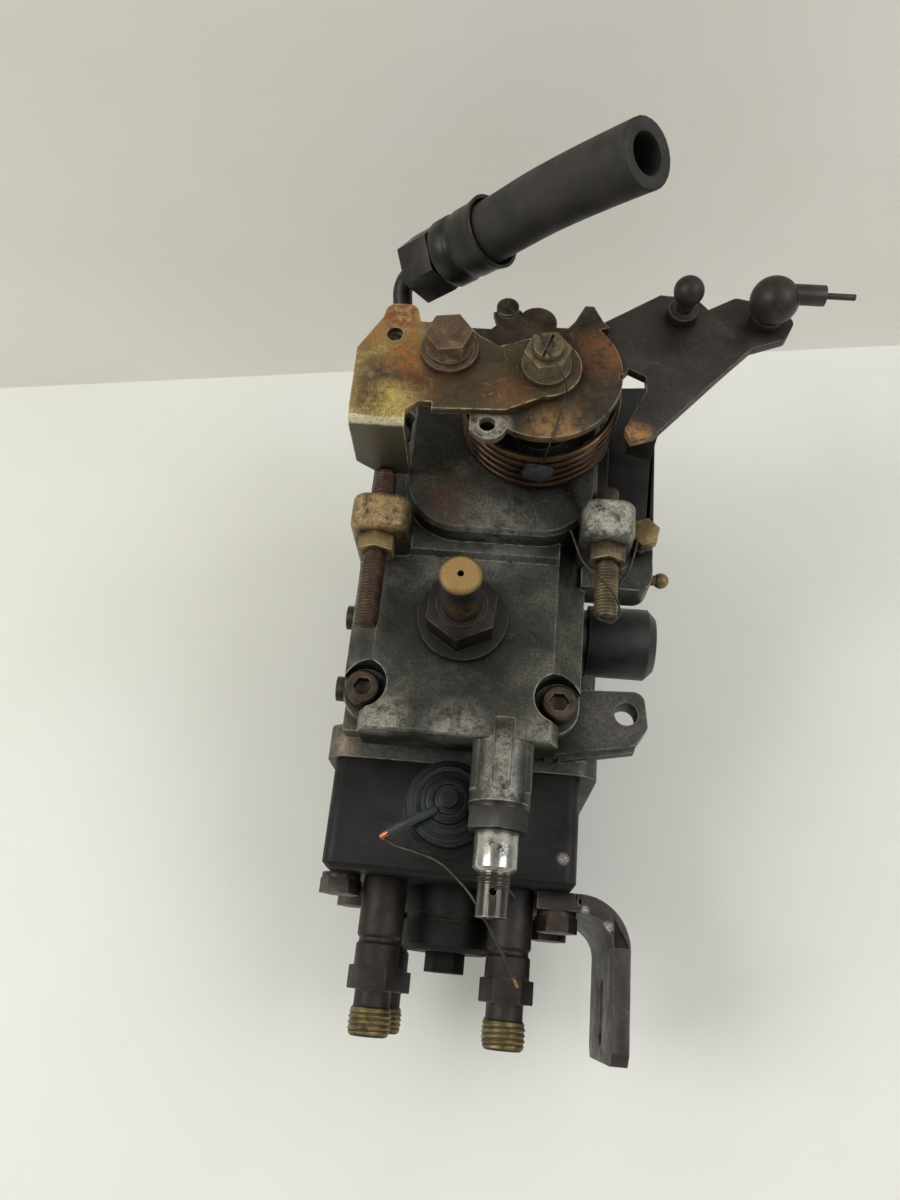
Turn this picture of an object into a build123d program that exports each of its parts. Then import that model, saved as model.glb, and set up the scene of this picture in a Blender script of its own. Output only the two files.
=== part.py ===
from build123d import *
import math
import os

# Rotary distributor fuel injection pump for a four-cylinder diesel engine.
# Row frame, millimetres: the drive axis is the Y axis and +Y points out of the drive end.
# The origin is on the drive axis in the face of the mounting flange. +Z points to the
# governor cover, +X to the side with the throttle lever's linkage.

# Driving dimensions: main castings
FLANGE_THICK = 11.0
FLANGE_CORE_R = 35.0
FLANGE_BOLT_R = 46.0        # radius of the mounting bolt circle
FLANGE_BOLT_HOLE_R = 4.25
FLANGE_LOBE_R = 9.5
PILOT_R = 25.0
PILOT_LENGTH = 7.0
BARREL_R = 38.0             # outside of the round lower housing
BORE_R = 30.0               # inside of the housing
CHAMBER_HALF_W = 24.5       # governor chamber, half width inside
CHAMBER_WALL = 10.5
CHAMBER_FRONT_Y = -30.0
VALVE_BODY_Y = -40.0        # pressure valve, on the left by the feed pump
JOINT_RISE = 8.5            # from the head's top to the cover gasket
REAR_FLANGE_THICK = 10.0
REST_Z = -64.0              # underside that the pump stands on
FOOT_HALF_W = 22.0
FOOT_THICK = 9.0
FOOT_ARCH_R = 11.0

# Cover
GASKET_THICK = 1.0
COVER_HALF_W = 34.5
COVER_BACK = 4.7            # body of the cover behind its screw flange
COVER_SLOPE = 8.5           # width of the sloping sides
COVER_LEDGE = 5.0           # step at the foot of the platform
COVER_FRONT_Y = -14.0
PLATFORM_LEFT = -22.0
PLATFORM_RIGHT = 35.7
PLATFORM_REAR_Y = -62.5

# Hydraulic head and its fittings
HEAD_LENGTH = 32.5
VALVE_CIRCLE_R = 27.6
HOLDER_BARREL_R = 6.6
HOLDER_HEX_AF = 14.0
HOLDER_THREAD_R = 5.9
HOLDER_LENGTH = 44.5
HEAD_BOLT_Z = 20.0
HEAD_BOLT_R = 3.5
HEAD_BOLT_AF = 11.0
HEAD_BOLT_ROOM = 1.134      # between a bolt's washer and a valve holder
HEAD_EDGE = 0.8             # head outside its bolts
PLUG_R = 14.2
PLUG_LENGTH = 19.0
PLUNGER_R = 5.0
SOLENOID_X = -1.0
SOLENOID_BACK = 12.8        # from the head joint to the valve's axis
SOLENOID_R = 12.3
SOLENOID_HEIGHT = 9.0
FULL_LOAD_X = 13.4
FULL_LOAD_BOSS_R = 8.6
FULL_LOAD_BOSS_LENGTH = 18.0
FULL_LOAD_SCREW_R = 4.4
FULL_LOAD_COLLAR_R = 6.1
FULL_LOAD_TIP_Y = -94.7

# Governor, in mesh with the drive shaft's gear
GEAR_MODULE = 2.0
DRIVE_TEETH = 26
GOVERNOR_TEETH = 17
GEAR_WIDTH = 6.0
GEAR_FRONT_Y = -51.0
GOVERNOR_SHAFT_R = 2.9
CAGE_R = 14.0
CAGE_LENGTH = 19.0
WEIGHT_WIDTH = 7.6
WEIGHT_PIVOT_R = 10.5       # from the governor's axis
SLEEVE_R = 8.0
SLEEVE_LENGTH = 12.0
CONTROL_PIN_Z = 9.2
LEVER_PIVOT_BACK = 13.9     # from the lever's pad to its pivot
LEVER_TO_HEAD = 24.0        # from the pivot to the head joint
GOVERNOR_LEVER_Z = 26.0

# Drive train
JOURNAL_R = 10.0
SHAFT_TIP = 44.0
SHAFT_THREAD_R = 6.0
SHAFT_THREAD_LENGTH = 14.0
SHAFT_SEAT_R = 8.5
SHAFT_COLLAR_R = 13.0
KEY_WIDTH = 4.0
KEY_LENGTH = 12.0
BUSH_WALL = 2.5
FEED_LINER_R = 28.0
FEED_LINER_THICK = 12.0
FEED_FRONT_Y = -34.0
FEED_ROTOR_R = 17.2
FEED_OFFSET = 2.0
FEED_PLATE_THICK = 3.0
ROLLER_RING_FRONT_Y = -62.0
ROLLER_RING_THICK = 10.0
ROLLER_R = 4.5
ROLLER_CIRCLE_R = 19.5
CAM_R = 24.0
CAM_LIFT = 2.2
CAM_THICK = 7.0

# Timing device, across the housing under the cam
TIMER_Z = -44.0
TIMER_BORE_R = 13.2
TIMER_WALL = 5.0
TIMER_HALF_LENGTH = 40.0
TIMER_PISTON_LENGTH = 30.0
TIMER_COVER_SIDE = 40.0
TIMER_COVER_THICK = 6.0

# Lever gear on the cover
LEVER_X = 17.5
LEVER_Y = -24.0
LEVER_SHAFT_R = 5.0
TOWER_R = 9.3
LEVER_THICK = 3.0
PLATE_THICK = 2.5
SPRING_PLATE_R = 21.8
RETURN_SPRING_R = 22.0
RETURN_SPRING_WIRE_R = 1.3
RETURN_SPRING_TURNS = 5
STUD_X = 56.2
STUD_Y = 0.8
BALL_R = 4.3
STUD_NECK_R = 2.4
SOCKET_X = 80.5
SOCKET_Y = 0.8
SOCKET_R = 6.8
IDLE_SCREW_X = -27.5
IDLE_SCREW_LENGTH = 49.8
SPEED_SCREW_X = 39.1
SPEED_SCREW_LENGTH = 41.0
ADJUSTER_R = 3.0
ADJUSTER_NUT_AF = 10.0
ADJUSTER_NUT_THICK = 5.0
IDLE_TIP_Y = -45.6
SPEED_TIP_Y = -46.3
IDLE_LUG_REAR_Y = -68.0
SPEED_LUG_REAR_Y = -65.5
THROTTLE_TRAVEL = 28.0      # degrees from idle to full speed
CRANK_X = 20.0              # pin of the throttle shaft's crank
CRANK_BACK = 6.0
CRANK_RISE = 11.0           # governor spring above the governor axis
BOLT_X = -10.0              # bolt that clamps the stop bracket
BOLT_Y = -20.5
BOLT_R = 4.0

# Fittings
RETURN_X = -1.1
RETURN_HEX_AF = 19.0
RETURN_TUBE_R = 5.8
SIDE_BOSS_Y = -77.3
SIDE_BOSS_Z = 30.0
SIDE_BOSS_R = 11.6
SIDE_CAP_END = 59.5
SIDE_BOLT_X = 51.0
SIDE_BOLT_Y = -55.5
ARM_HOLE_X = 49.3
ARM_HOLE_R = 3.5
ARM_THICK = 9.0
ARM_END_R = 6.6
BRACKET_THICK = 5.3
BRACKET_TOP = 26.5
BRACKET_BOTTOM = -30.0
BRACKET_OUT_X = 54.8
BRACKET_BEND_R = 15.0
BRACKET_END_Y = -202.0
BRACKET_SLOT_R = 4.5
HOSE_R = 9.0
HOSE_BORE_R = 5.25
FERRULE_R = 10.5
UNION_AF = 19.0
INLET_X = -27.0
INLET_Y = -5.5
INLET_R = 5.0

# Clearances
RUN = 0.05                  # radial, running fits
GAP = 0.3                   # parts that move past each other
FIT = 0.1                   # radial, assembled parts that do not move

# Hose route: from the union's shoulder out of the ferrule to the open end
HOSE_ROUTE = [(-14.5, 25.4, 91.2), (-1.5, 24.2, 102.4), (17.7, 17.6, 125.2), (38.1, 9.0, 146.0)]

# Places worked out from the driving dimensions
CAGE_FRONT_Y = GEAR_FRONT_Y - GEAR_WIDTH
CAGE_REAR_Y = CAGE_FRONT_Y - CAGE_LENGTH
WEIGHT_PIVOT_Y = CAGE_REAR_Y + 4.5
SLEEVE_FRONT_Y = WEIGHT_PIVOT_Y - 2 - GAP
LEVER_FACE_Y = SLEEVE_FRONT_Y - SLEEVE_LENGTH - GAP
GOVERNOR_LEVER_Y = LEVER_FACE_Y - LEVER_PIVOT_BACK
HEAD_Y = GOVERNOR_LEVER_Y - LEVER_TO_HEAD
HEAD_REAR_Y = HEAD_Y - HEAD_LENGTH
HEAD_BOLT_X = (VALVE_CIRCLE_R * math.sqrt(0.5) + HOLDER_BARREL_R + 1.7 * HEAD_BOLT_R
               + HEAD_BOLT_ROOM)
HALF_HEAD = HEAD_BOLT_X + HEAD_BOLT_R + HEAD_EDGE
JOINT_Z = HALF_HEAD + JOINT_RISE
CHAMBER_REAR_Y = HEAD_Y + 10
REAR_EAR_LEFT = HALF_HEAD + 2.9
REAR_EAR_RIGHT = HALF_HEAD + 5.1
COVER_FLANGE_TOP = JOINT_Z + 9.0     # seat of the cover screws
COVER_TOP = COVER_FLANGE_TOP + 10.0
COVER_ROOF = COVER_TOP - 4.5           # inside of the low part
PLATFORM_TOP = COVER_TOP + 9.0
PLATFORM_ROOF = PLATFORM_TOP - 8.0
LUG_TOP = PLATFORM_TOP + 10.0
COVER_REAR_Y = HEAD_Y + 7           # rear of the screw flange
COVER_SCREW_X = COVER_HALF_W - 6.2
COVER_SCREW_REAR_Y = COVER_REAR_Y + 8.4
COVER_SCREW_FRONT_Y = COVER_FRONT_Y - 8.5
COVER_CAVITY_REAR_Y = COVER_REAR_Y + 18.0
FULL_LOAD_Z = COVER_FLANGE_TOP + 2.0
TOWER_TOP = PLATFORM_TOP + 17.0
LEVER_Z = TOWER_TOP + 3.0     # underside of the throttle lever
SOCKET_Z = LEVER_Z + 11.5
IDLE_SCREW_Z = PLATFORM_TOP + 1.5
SPEED_SCREW_Z = PLATFORM_TOP
RETURN_TIP_Z = COVER_TOP + 32.0
RETURN_Y = COVER_REAR_Y + 29.7
ARM_HOLE_Y = HEAD_Y + 18
INLET_SEAT_Z = JOINT_Z - 2.0
GOVERNOR_Z = GEAR_MODULE * (DRIVE_TEETH + GOVERNOR_TEETH) / 2
CRANK_Z = GOVERNOR_Z + CRANK_RISE
RING_MID_Y = ROLLER_RING_FRONT_Y - ROLLER_RING_THICK / 2
PLATE_Z = LEVER_Z + LEVER_THICK
STOP_Z = PLATE_Z + PLATE_THICK
STACK_Z = STOP_Z + PLATE_THICK
COVER_BASE = JOINT_Z + GASKET_THICK
CHAMBER_OUT = CHAMBER_HALF_W + CHAMBER_WALL
ROLLER_RING_R = BORE_R - 2 * RUN
RING_REAR_Y = ROLLER_RING_FRONT_Y - ROLLER_RING_THICK
ROLLER_Y = RING_REAR_Y + 3.2
CAM_CREST_Y = ROLLER_Y - ROLLER_R - GAP
CAM_FACE_Y = CAM_CREST_Y - CAM_LIFT
CAM_REAR_Y = CAM_FACE_Y - CAM_THICK
FEED_REAR_Y = FEED_FRONT_Y - FEED_LINER_THICK - FEED_PLATE_THICK
RETURN_SPRING_Z = PLATFORM_TOP + RETURN_SPRING_WIRE_R + GAP
SOLENOID_Y = HEAD_Y - SOLENOID_BACK
VALVE_CENTRES = [
    (VALVE_CIRCLE_R * math.cos(math.radians(a)), VALVE_CIRCLE_R * math.sin(math.radians(a)))
    for a in (45, 135, 225, 315)
]


def rod_x(radius, x0, x1, y=0.0, z=0.0):
    """Round bar along X."""
    return Pos((x0 + x1) / 2, y, z) * Rot(0, 90, 0) * Cylinder(radius, abs(x1 - x0))


def rod_y(radius, y0, y1, x=0.0, z=0.0):
    """Round bar along Y."""
    return Pos(x, (y0 + y1) / 2, z) * Rot(90, 0, 0) * Cylinder(radius, abs(y1 - y0))


def rod_z(radius, z0, z1, x=0.0, y=0.0):
    """Round bar along Z."""
    return Pos(x, y, (z0 + z1) / 2) * Cylinder(radius, abs(z1 - z0))


def block(x0, x1, y0, y1, z0, z1):
    """Box between two corners."""
    centre = Pos((x0 + x1) / 2, (y0 + y1) / 2, (z0 + z1) / 2)
    return centre * Box(abs(x1 - x0), abs(y1 - y0), abs(z1 - z0))


def hexagon(across_flats, z0, z1, x=0.0, y=0.0, turn=0.0):
    """Hexagonal bar along Z."""
    face = Rot(0, 0, turn) * RegularPolygon(across_flats / 2, 6, major_radius=False)
    return Pos(x, y, z0) * extrude(face, z1 - z0)


def hexagon_y(across_flats, y0, y1, x=0.0, z=0.0, turn=0.0):
    """Hexagonal bar along Y, from the end nearer the head to the end nearer the drive."""
    bar = hexagon(across_flats, 0, abs(y1 - y0), turn=turn)
    return Pos(x, max(y0, y1), z) * Rot(90, 0, 0) * bar


def plate(points, z0, z1):
    """Flat plate of the given outline."""
    return Pos(0, 0, z0) * extrude(make_face(Polyline(*points, close=True)), z1 - z0)


def upright_edges(shape):
    """Edges of a plate that run along Z."""
    return shape.edges().filter_by(Axis.Z)


def involute(angle):
    """Involute function of a pressure angle in radians."""
    return math.tan(angle) - angle


def gear(teeth, width, phase=0.0):
    """Spur gear with 20 degree involute flanks, axis along Z, one tooth at the phase angle."""
    pitch = GEAR_MODULE * teeth / 2
    base = pitch * math.cos(math.radians(20))
    root = pitch - 1.25 * GEAR_MODULE
    tip = pitch + 0.9 * GEAR_MODULE
    middle_half = math.pi / (2 * teeth) + involute(math.radians(20)) - 0.12 / pitch
    flank = []
    for radius in (base, pitch, tip):
        flank.append((radius, middle_half - involute(math.acos(min(1.0, base / radius)))))
    flank.insert(0, (root, flank[0][1]))
    points = []
    for i in range(teeth):
        middle = 2 * math.pi * i / teeth + math.radians(phase)
        for radius, half in flank:
            points.append((radius * math.cos(middle - half), radius * math.sin(middle - half)))
        for radius, half in reversed(flank):
            points.append((radius * math.cos(middle + half), radius * math.sin(middle + half)))
    return extrude(make_face(Polyline(*points, close=True)), width)


# ---------------------------------------------------------------- castings

def mounting_flange():
    """Three-lobed flange: hull round the core and one lobe for each bolt."""
    shape = rod_y(FLANGE_CORE_R, -FLANGE_THICK, 0)
    for angle in (90, 210, 330):
        cx = FLANGE_BOLT_R * math.cos(math.radians(angle))
        cz = FLANGE_BOLT_R * math.sin(math.radians(angle))
        lobe = rod_y(FLANGE_LOBE_R, -FLANGE_THICK, 0, cx, cz)
        web = Rot(0, -angle, 0) * block(0, FLANGE_BOLT_R, -FLANGE_THICK, 0,
                                        -FLANGE_LOBE_R, FLANGE_LOBE_R)
        shape += lobe + web
    for angle in (90, 210, 330):
        cx = FLANGE_BOLT_R * math.cos(math.radians(angle))
        cz = FLANGE_BOLT_R * math.sin(math.radians(angle))
        shape -= rod_y(FLANGE_BOLT_HOLE_R, -FLANGE_THICK, 0, cx, cz)
    return shape


def timer_casting():
    """Cylinder across the housing for the timing piston, squared off at its ends and base."""
    radius = TIMER_BORE_R + TIMER_WALL
    half = TIMER_COVER_SIDE / 2
    shape = rod_x(radius, -TIMER_HALF_LENGTH, TIMER_HALF_LENGTH, RING_MID_Y, TIMER_Z)
    shape += block(-TIMER_HALF_LENGTH, TIMER_HALF_LENGTH, RING_MID_Y - half + 4,
                   RING_MID_Y + half - 4, REST_Z, TIMER_Z)
    for side in (-1, 1):
        pad = block(side * (TIMER_HALF_LENGTH - 7), side * TIMER_HALF_LENGTH,
                    RING_MID_Y - half, RING_MID_Y + half, TIMER_Z - half, TIMER_Z + half)
        shape += fillet(pad.edges().filter_by(Axis.X), 5)
    shape += block(-20, 20, RING_MID_Y - 16, RING_MID_Y + 16, TIMER_Z, -20)
    return shape


def rear_foot():
    """Cast web under the rear flange with two feet and an arch between them."""
    web = block(-FOOT_HALF_W, FOOT_HALF_W, HEAD_Y, HEAD_Y + FOOT_THICK, REST_Z, -HALF_HEAD + 2)
    arch = rod_y(FOOT_ARCH_R, HEAD_Y, HEAD_Y + FOOT_THICK, 0, REST_Z)
    return web - arch


def pump_housing():
    """Aluminium casting that carries everything else."""
    shape = rod_y(BARREL_R, HEAD_Y, -20)
    shape += Pos(0, -20, 0) * Rot(-90, 0, 0) * Cone(BARREL_R, FLANGE_CORE_R, 10,
                                                   align=(Align.CENTER, Align.CENTER, Align.MIN))
    shape += block(-CHAMBER_OUT, CHAMBER_OUT, CHAMBER_REAR_Y - 4, COVER_FRONT_Y, 0, JOINT_Z)
    shape = fillet(shape.edges().filter_by(Axis.Z).sort_by(Axis.Y)[-2:], CHAMBER_WALL / 3)
    shape += hinge_arm()
    rear = block(-REAR_EAR_LEFT, REAR_EAR_RIGHT, HEAD_Y, HEAD_Y + REAR_FLANGE_THICK,
                 -HALF_HEAD, HALF_HEAD + 1)
    shape += fillet(rear.edges().filter_by(Axis.Y), 7)
    shape += mounting_flange()
    shape += timer_casting()
    shape += rear_foot()
    shape += rod_y(PILOT_R, 0, PILOT_LENGTH)
    shape += rod_x(SIDE_BOSS_R - 1.5, 30, CHAMBER_OUT + 3, SIDE_BOSS_Y, SIDE_BOSS_Z)
    shape += inlet_boss()
    # Inside: cam bore, feed pump pocket, shaft bore, seal seat, governor chamber
    shape -= rod_y(BORE_R, HEAD_Y, FEED_REAR_Y)
    shape -= rod_y(FEED_LINER_R + FIT, FEED_FRONT_Y, HEAD_Y / 2)
    shape -= rod_y(JOURNAL_R + BUSH_WALL, FEED_FRONT_Y, PILOT_LENGTH)
    shape -= rod_y(JOURNAL_R + 6, 0, PILOT_LENGTH)
    shape -= block(-CHAMBER_HALF_W, CHAMBER_HALF_W, CHAMBER_REAR_Y, FEED_REAR_Y, 0, JOINT_Z)
    shape -= block(-CHAMBER_HALF_W, CHAMBER_HALF_W, CHAMBER_REAR_Y, CHAMBER_FRONT_Y, 31, JOINT_Z)
    shape -= rod_y(GOVERNOR_SHAFT_R, CHAMBER_FRONT_Y, CHAMBER_FRONT_Y + 10, 0, GOVERNOR_Z)
    # Timer bore and the way through to the roller ring's pin
    shape -= rod_x(TIMER_BORE_R, -TIMER_HALF_LENGTH, TIMER_HALF_LENGTH, RING_MID_Y, TIMER_Z)
    shape -= block(-14, 14, RING_MID_Y - 5.5, RING_MID_Y + 5.5, TIMER_Z, 0)
    for x, y, _ in cover_screw_places():
        shape -= rod_z(3 - FIT, JOINT_Z - 12, JOINT_Z, x, y)
    for x in (-HEAD_BOLT_X, HEAD_BOLT_X):
        for z in (-HEAD_BOLT_Z, HEAD_BOLT_Z):
            shape -= rod_y(HEAD_BOLT_R, HEAD_Y, HEAD_Y + REAR_FLANGE_THICK, x, z)
    shape -= rod_x(SIDE_BOSS_R - 4.5, CHAMBER_HALF_W, CHAMBER_OUT + 3, SIDE_BOSS_Y, SIDE_BOSS_Z)
    shape -= rod_z(INLET_R, INLET_SEAT_Z - 10, INLET_SEAT_Z, INLET_X, INLET_Y)
    for side in (-1, 1):
        for bar in timer_screws(3 - FIT, side, TIMER_HALF_LENGTH - 7, TIMER_HALF_LENGTH):
            shape -= bar
    shape -= rod_x(5, -BARREL_R - 4, -FEED_LINER_R - 1.5, VALVE_BODY_Y, 0)
    return shape


def inlet_boss():
    """Boss for the fuel inlet, on the shoulder behind the flange."""
    boss = rod_z(8.5, 18, INLET_SEAT_Z, INLET_X, INLET_Y)
    return boss & block(-60, 0, -40, 0, 0, 60)


def hinge_arm():
    """Flat cast arm at the rear right corner with one clearance hole."""
    edge = ARM_HOLE_X + ARM_END_R
    arm = plate([(26, ARM_HOLE_Y + 6), (edge - 1.5, ARM_HOLE_Y + 7.3), (edge, ARM_HOLE_Y - 4),
                 (ARM_HOLE_X + 3, ARM_HOLE_Y - 9.4), (26, ARM_HOLE_Y - 14.6)],
                JOINT_Z - ARM_THICK, JOINT_Z)
    arm = fillet(upright_edges(arm).sort_by(Axis.X)[-3:], 3.5)
    ridge = plate([(30, ARM_HOLE_Y - 12.2), (ARM_HOLE_X + 3.6, ARM_HOLE_Y - 8.2),
                   (ARM_HOLE_X + 3.2, ARM_HOLE_Y - 10.3), (30, ARM_HOLE_Y - 14.8)],
                  JOINT_Z - ARM_THICK, JOINT_Z - ARM_THICK / 2)
    arm += ridge
    return arm - rod_z(ARM_HOLE_R, JOINT_Z - ARM_THICK, JOINT_Z, ARM_HOLE_X, ARM_HOLE_Y)


def cover_screw_places():
    """Centre of each cover screw and the radius of its pocket."""
    return [(-COVER_SCREW_X, COVER_SCREW_REAR_Y, 7.3), (COVER_SCREW_X, COVER_SCREW_REAR_Y, 7.3),
            (-COVER_SCREW_X, COVER_SCREW_FRONT_Y, 7.3),
            (COVER_SCREW_X + 2.5, COVER_SCREW_FRONT_Y + 4.5, 5.3)]


def cover_outline(z0, z1):
    """Outline shared by the cover and its gasket."""
    base = block(-COVER_HALF_W, COVER_HALF_W, COVER_REAR_Y, COVER_FRONT_Y, z0, z1)
    return fillet(upright_edges(base), 8)


def cover_opening(z0, z1):
    """Opening over the governor chamber."""
    hole = block(-CHAMBER_HALF_W, CHAMBER_HALF_W, COVER_CAVITY_REAR_Y, CHAMBER_FRONT_Y - 2,
                 z0, z1)
    return fillet(upright_edges(hole), 5)


def cover_gasket():
    """Sheet gasket between the housing and the cover."""
    shape = cover_outline(JOINT_Z, COVER_BASE) - cover_opening(JOINT_Z, COVER_BASE)
    for x, y, _ in cover_screw_places():
        shape -= rod_z(3.4, JOINT_Z, COVER_BASE, x, y)
    return shape


def cover_body():
    """Low part of the cover: sloping sides, crisp rear edge and the ledge by the platform."""
    rear = COVER_REAR_Y - COVER_BACK
    top = COVER_HALF_W - COVER_SLOPE
    side = COVER_HALF_W - 6
    section = make_face(Polyline((-side, COVER_BASE), (-side, COVER_FLANGE_TOP + 5),
                                 (-top, COVER_TOP), (top, COVER_TOP), (side, COVER_FLANGE_TOP + 5),
                                 (side, COVER_BASE), close=True))
    body = extrude(Plane(origin=(0, rear, 0), x_dir=(1, 0, 0), z_dir=(0, -1, 0)) * section,
                   rear - COVER_FRONT_Y)
    flank = make_face(Polyline((-COVER_HALF_W, COVER_BASE), (-COVER_HALF_W, COVER_FLANGE_TOP + 2.5),
                               (-top, COVER_TOP), (top, COVER_TOP),
                               (COVER_HALF_W, COVER_FLANGE_TOP + 2.5), (COVER_HALF_W, COVER_BASE),
                               close=True))
    front = COVER_REAR_Y + 8
    body += extrude(Plane(origin=(0, front, 0), x_dir=(1, 0, 0), z_dir=(0, -1, 0)) * flank,
                    front - COVER_FRONT_Y)
    room = block(-COVER_HALF_W, COVER_HALF_W, rear, COVER_FRONT_Y, COVER_BASE, COVER_TOP)
    body = body & fillet(upright_edges(room).sort_by(Axis.Y)[-2:], 8)
    body = fillet(body.edges().filter_by(Axis.X).group_by(Axis.Y)[0].sort_by(Axis.Z)[-1], 1)
    ledge = block(-top + 1.5, top, PLATFORM_REAR_Y - COVER_LEDGE, PLATFORM_REAR_Y + 8,
                  COVER_FLANGE_TOP + 2, COVER_TOP + 1.6)
    return body + chamfer(ledge.edges().filter_by(Axis.X).sort_by(Axis.Y)[:2].sort_by(Axis.Z)[-1], 1.5)


def platform():
    """Raised round-cornered platform that carries the lever tower."""
    shape = block(PLATFORM_LEFT, PLATFORM_RIGHT, PLATFORM_REAR_Y, COVER_FRONT_Y,
                  COVER_BASE + 4, PLATFORM_TOP)
    rear = upright_edges(shape).sort_by(Axis.Y)[:2]
    shape = fillet(rear, 17)
    return chamfer(shape.faces().sort_by(Axis.Z)[-1].edges(), 1.2)


def screw_lug(x, z, left, right, rear, front):
    """Lug on the cover that one stop screw is threaded through."""
    lug = block(left, right, rear, front, COVER_BASE + 6, LUG_TOP)
    lug = fillet(lug.edges().filter_by(Axis.Y).sort_by(Axis.Z)[-2:], 4.5)
    lug = fillet(lug.faces().sort_by(Axis.Z)[-1].edges().filter_by(Axis.X), 2)
    return lug - rod_y(ADJUSTER_R + FIT, rear, front, x, z)


def full_load_boss():
    """Square-shouldered boss for the full-load screw, with a rib along its top."""
    rear = HEAD_Y - FULL_LOAD_BOSS_LENGTH + 3.3
    front = COVER_REAR_Y - COVER_BACK + 6
    boss = rod_y(FULL_LOAD_BOSS_R, rear, front, FULL_LOAD_X, FULL_LOAD_Z)
    shoulder = block(FULL_LOAD_X - FULL_LOAD_BOSS_R, FULL_LOAD_X + FULL_LOAD_BOSS_R, rear + 3.2,
                     front, FULL_LOAD_Z, FULL_LOAD_Z + 6)
    boss += fillet(shoulder.edges().filter_by(Axis.Y).sort_by(Axis.Z)[-2:], 3.5)
    rib = block(FULL_LOAD_X - 2.6, FULL_LOAD_X + 2.6, rear + 2.8, front, FULL_LOAD_Z,
                COVER_TOP + 1.2)
    rib = fillet(rib.edges().filter_by(Axis.Z).sort_by(Axis.Y)[:2], 1.5)
    rib = fillet(rib.faces().sort_by(Axis.Z)[-1].edges().filter_by(Axis.Y), 1)
    return boss + rib


def governor_cover():
    """Aluminium cover with the lever tower, the stop screw lugs and the full-load boss."""
    shape = cover_outline(COVER_BASE, COVER_FLANGE_TOP)
    shape += cover_body()
    shape += platform()
    shape += rod_z(TOWER_R, PLATFORM_TOP - 2, TOWER_TOP, LEVER_X, LEVER_Y)
    shape += screw_lug(IDLE_SCREW_X, IDLE_SCREW_Z, -35.2, -18.6, IDLE_LUG_REAR_Y, -57)
    shape += screw_lug(SPEED_SCREW_X, SPEED_SCREW_Z, 31, 46.2, SPEED_LUG_REAR_Y, -54)
    side = block(33, 54.3, -72, -46, COVER_FLANGE_TOP - 6, COVER_FLANGE_TOP + 6)
    shape += fillet(upright_edges(side).sort_by(Axis.X)[-2:], 5)
    shape += full_load_boss()
    # Pockets down to the screw seats
    for x, y, pocket in cover_screw_places():
        shape -= rod_z(pocket, COVER_FLANGE_TOP, PLATFORM_TOP, x, y)
        shape -= rod_z(3.4, COVER_BASE, COVER_FLANGE_TOP, x, y)
    # Inside
    shape -= cover_opening(COVER_BASE, COVER_ROOF)
    shape -= block(-16, 22.5, PLATFORM_REAR_Y + 5, LEVER_Y + 0.5, COVER_BASE, PLATFORM_ROOF)
    shape -= rod_z(LEVER_SHAFT_R + RUN, CRANK_Z + 4, TOWER_TOP, LEVER_X, LEVER_Y)
    shape -= rod_y(FULL_LOAD_SCREW_R + FIT, HEAD_Y - FULL_LOAD_BOSS_LENGTH, GOVERNOR_LEVER_Y + 6,
                   FULL_LOAD_X, FULL_LOAD_Z)
    shape -= rod_z(RETURN_TUBE_R - 1, COVER_ROOF - 1, COVER_TOP, RETURN_X, RETURN_Y)
    shape -= rod_z(2.5 + FIT, COVER_FLANGE_TOP - 4, COVER_FLANGE_TOP + 6, SIDE_BOLT_X, SIDE_BOLT_Y)
    return shape


def cover_screws():
    """Socket-head screws, M6, with their hexagon sockets."""
    screws = []
    for x, y, _ in cover_screw_places():
        screw = rod_z(5, COVER_FLANGE_TOP, COVER_FLANGE_TOP + 6, x, y)
        screw = chamfer(screw.faces().sort_by(Axis.Z)[-1].edges(), 0.6)
        screw += rod_z(3 - 2 * FIT, JOINT_Z - 11, COVER_FLANGE_TOP, x, y)
        screws.append(screw - hexagon(5, COVER_FLANGE_TOP + 2.5, COVER_FLANGE_TOP + 6, x, y))
    return Compound(children=screws)


# ---------------------------------------------------------------- hydraulic head

def hydraulic_head():
    """Steel head block that closes the housing and carries the high-pressure parts."""
    head = block(-HALF_HEAD, HALF_HEAD, HEAD_REAR_Y, HEAD_Y, -HALF_HEAD, HALF_HEAD)
    head = fillet(head.edges().filter_by(Axis.Y), 4)
    head = chamfer(head.faces().sort_by(Axis.Y)[0].edges(), 1.5)
    head += rod_y(BORE_R - GAP, HEAD_Y, HEAD_Y + 8)
    head -= rod_y(9, HEAD_REAR_Y, HEAD_Y + 8)
    for x, z in VALVE_CENTRES:
        head -= rod_y(HOLDER_BARREL_R - 1.6 + FIT, HEAD_REAR_Y, HEAD_REAR_Y + 12, x, z)
    for x in (-HEAD_BOLT_X, HEAD_BOLT_X):
        for z in (-HEAD_BOLT_Z, HEAD_BOLT_Z):
            head -= rod_y(HEAD_BOLT_R + 2 * FIT, HEAD_REAR_Y, HEAD_Y, x, z)
    head += rod_z(SOLENOID_R + 1.3, HALF_HEAD - 2, HALF_HEAD + 1.5, SOLENOID_X, SOLENOID_Y - 1)
    return head - rod_z(6 + FIT, HALF_HEAD - 12, HALF_HEAD + 2, SOLENOID_X, SOLENOID_Y)


def pump_barrel():
    """Distributor barrel pressed in the head, in which the plunger runs."""
    barrel = rod_y(9 - FIT, HEAD_REAR_Y + 1, HEAD_Y + 10)
    return barrel - rod_y(PLUNGER_R + RUN, HEAD_REAR_Y, HEAD_Y + 11)


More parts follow.
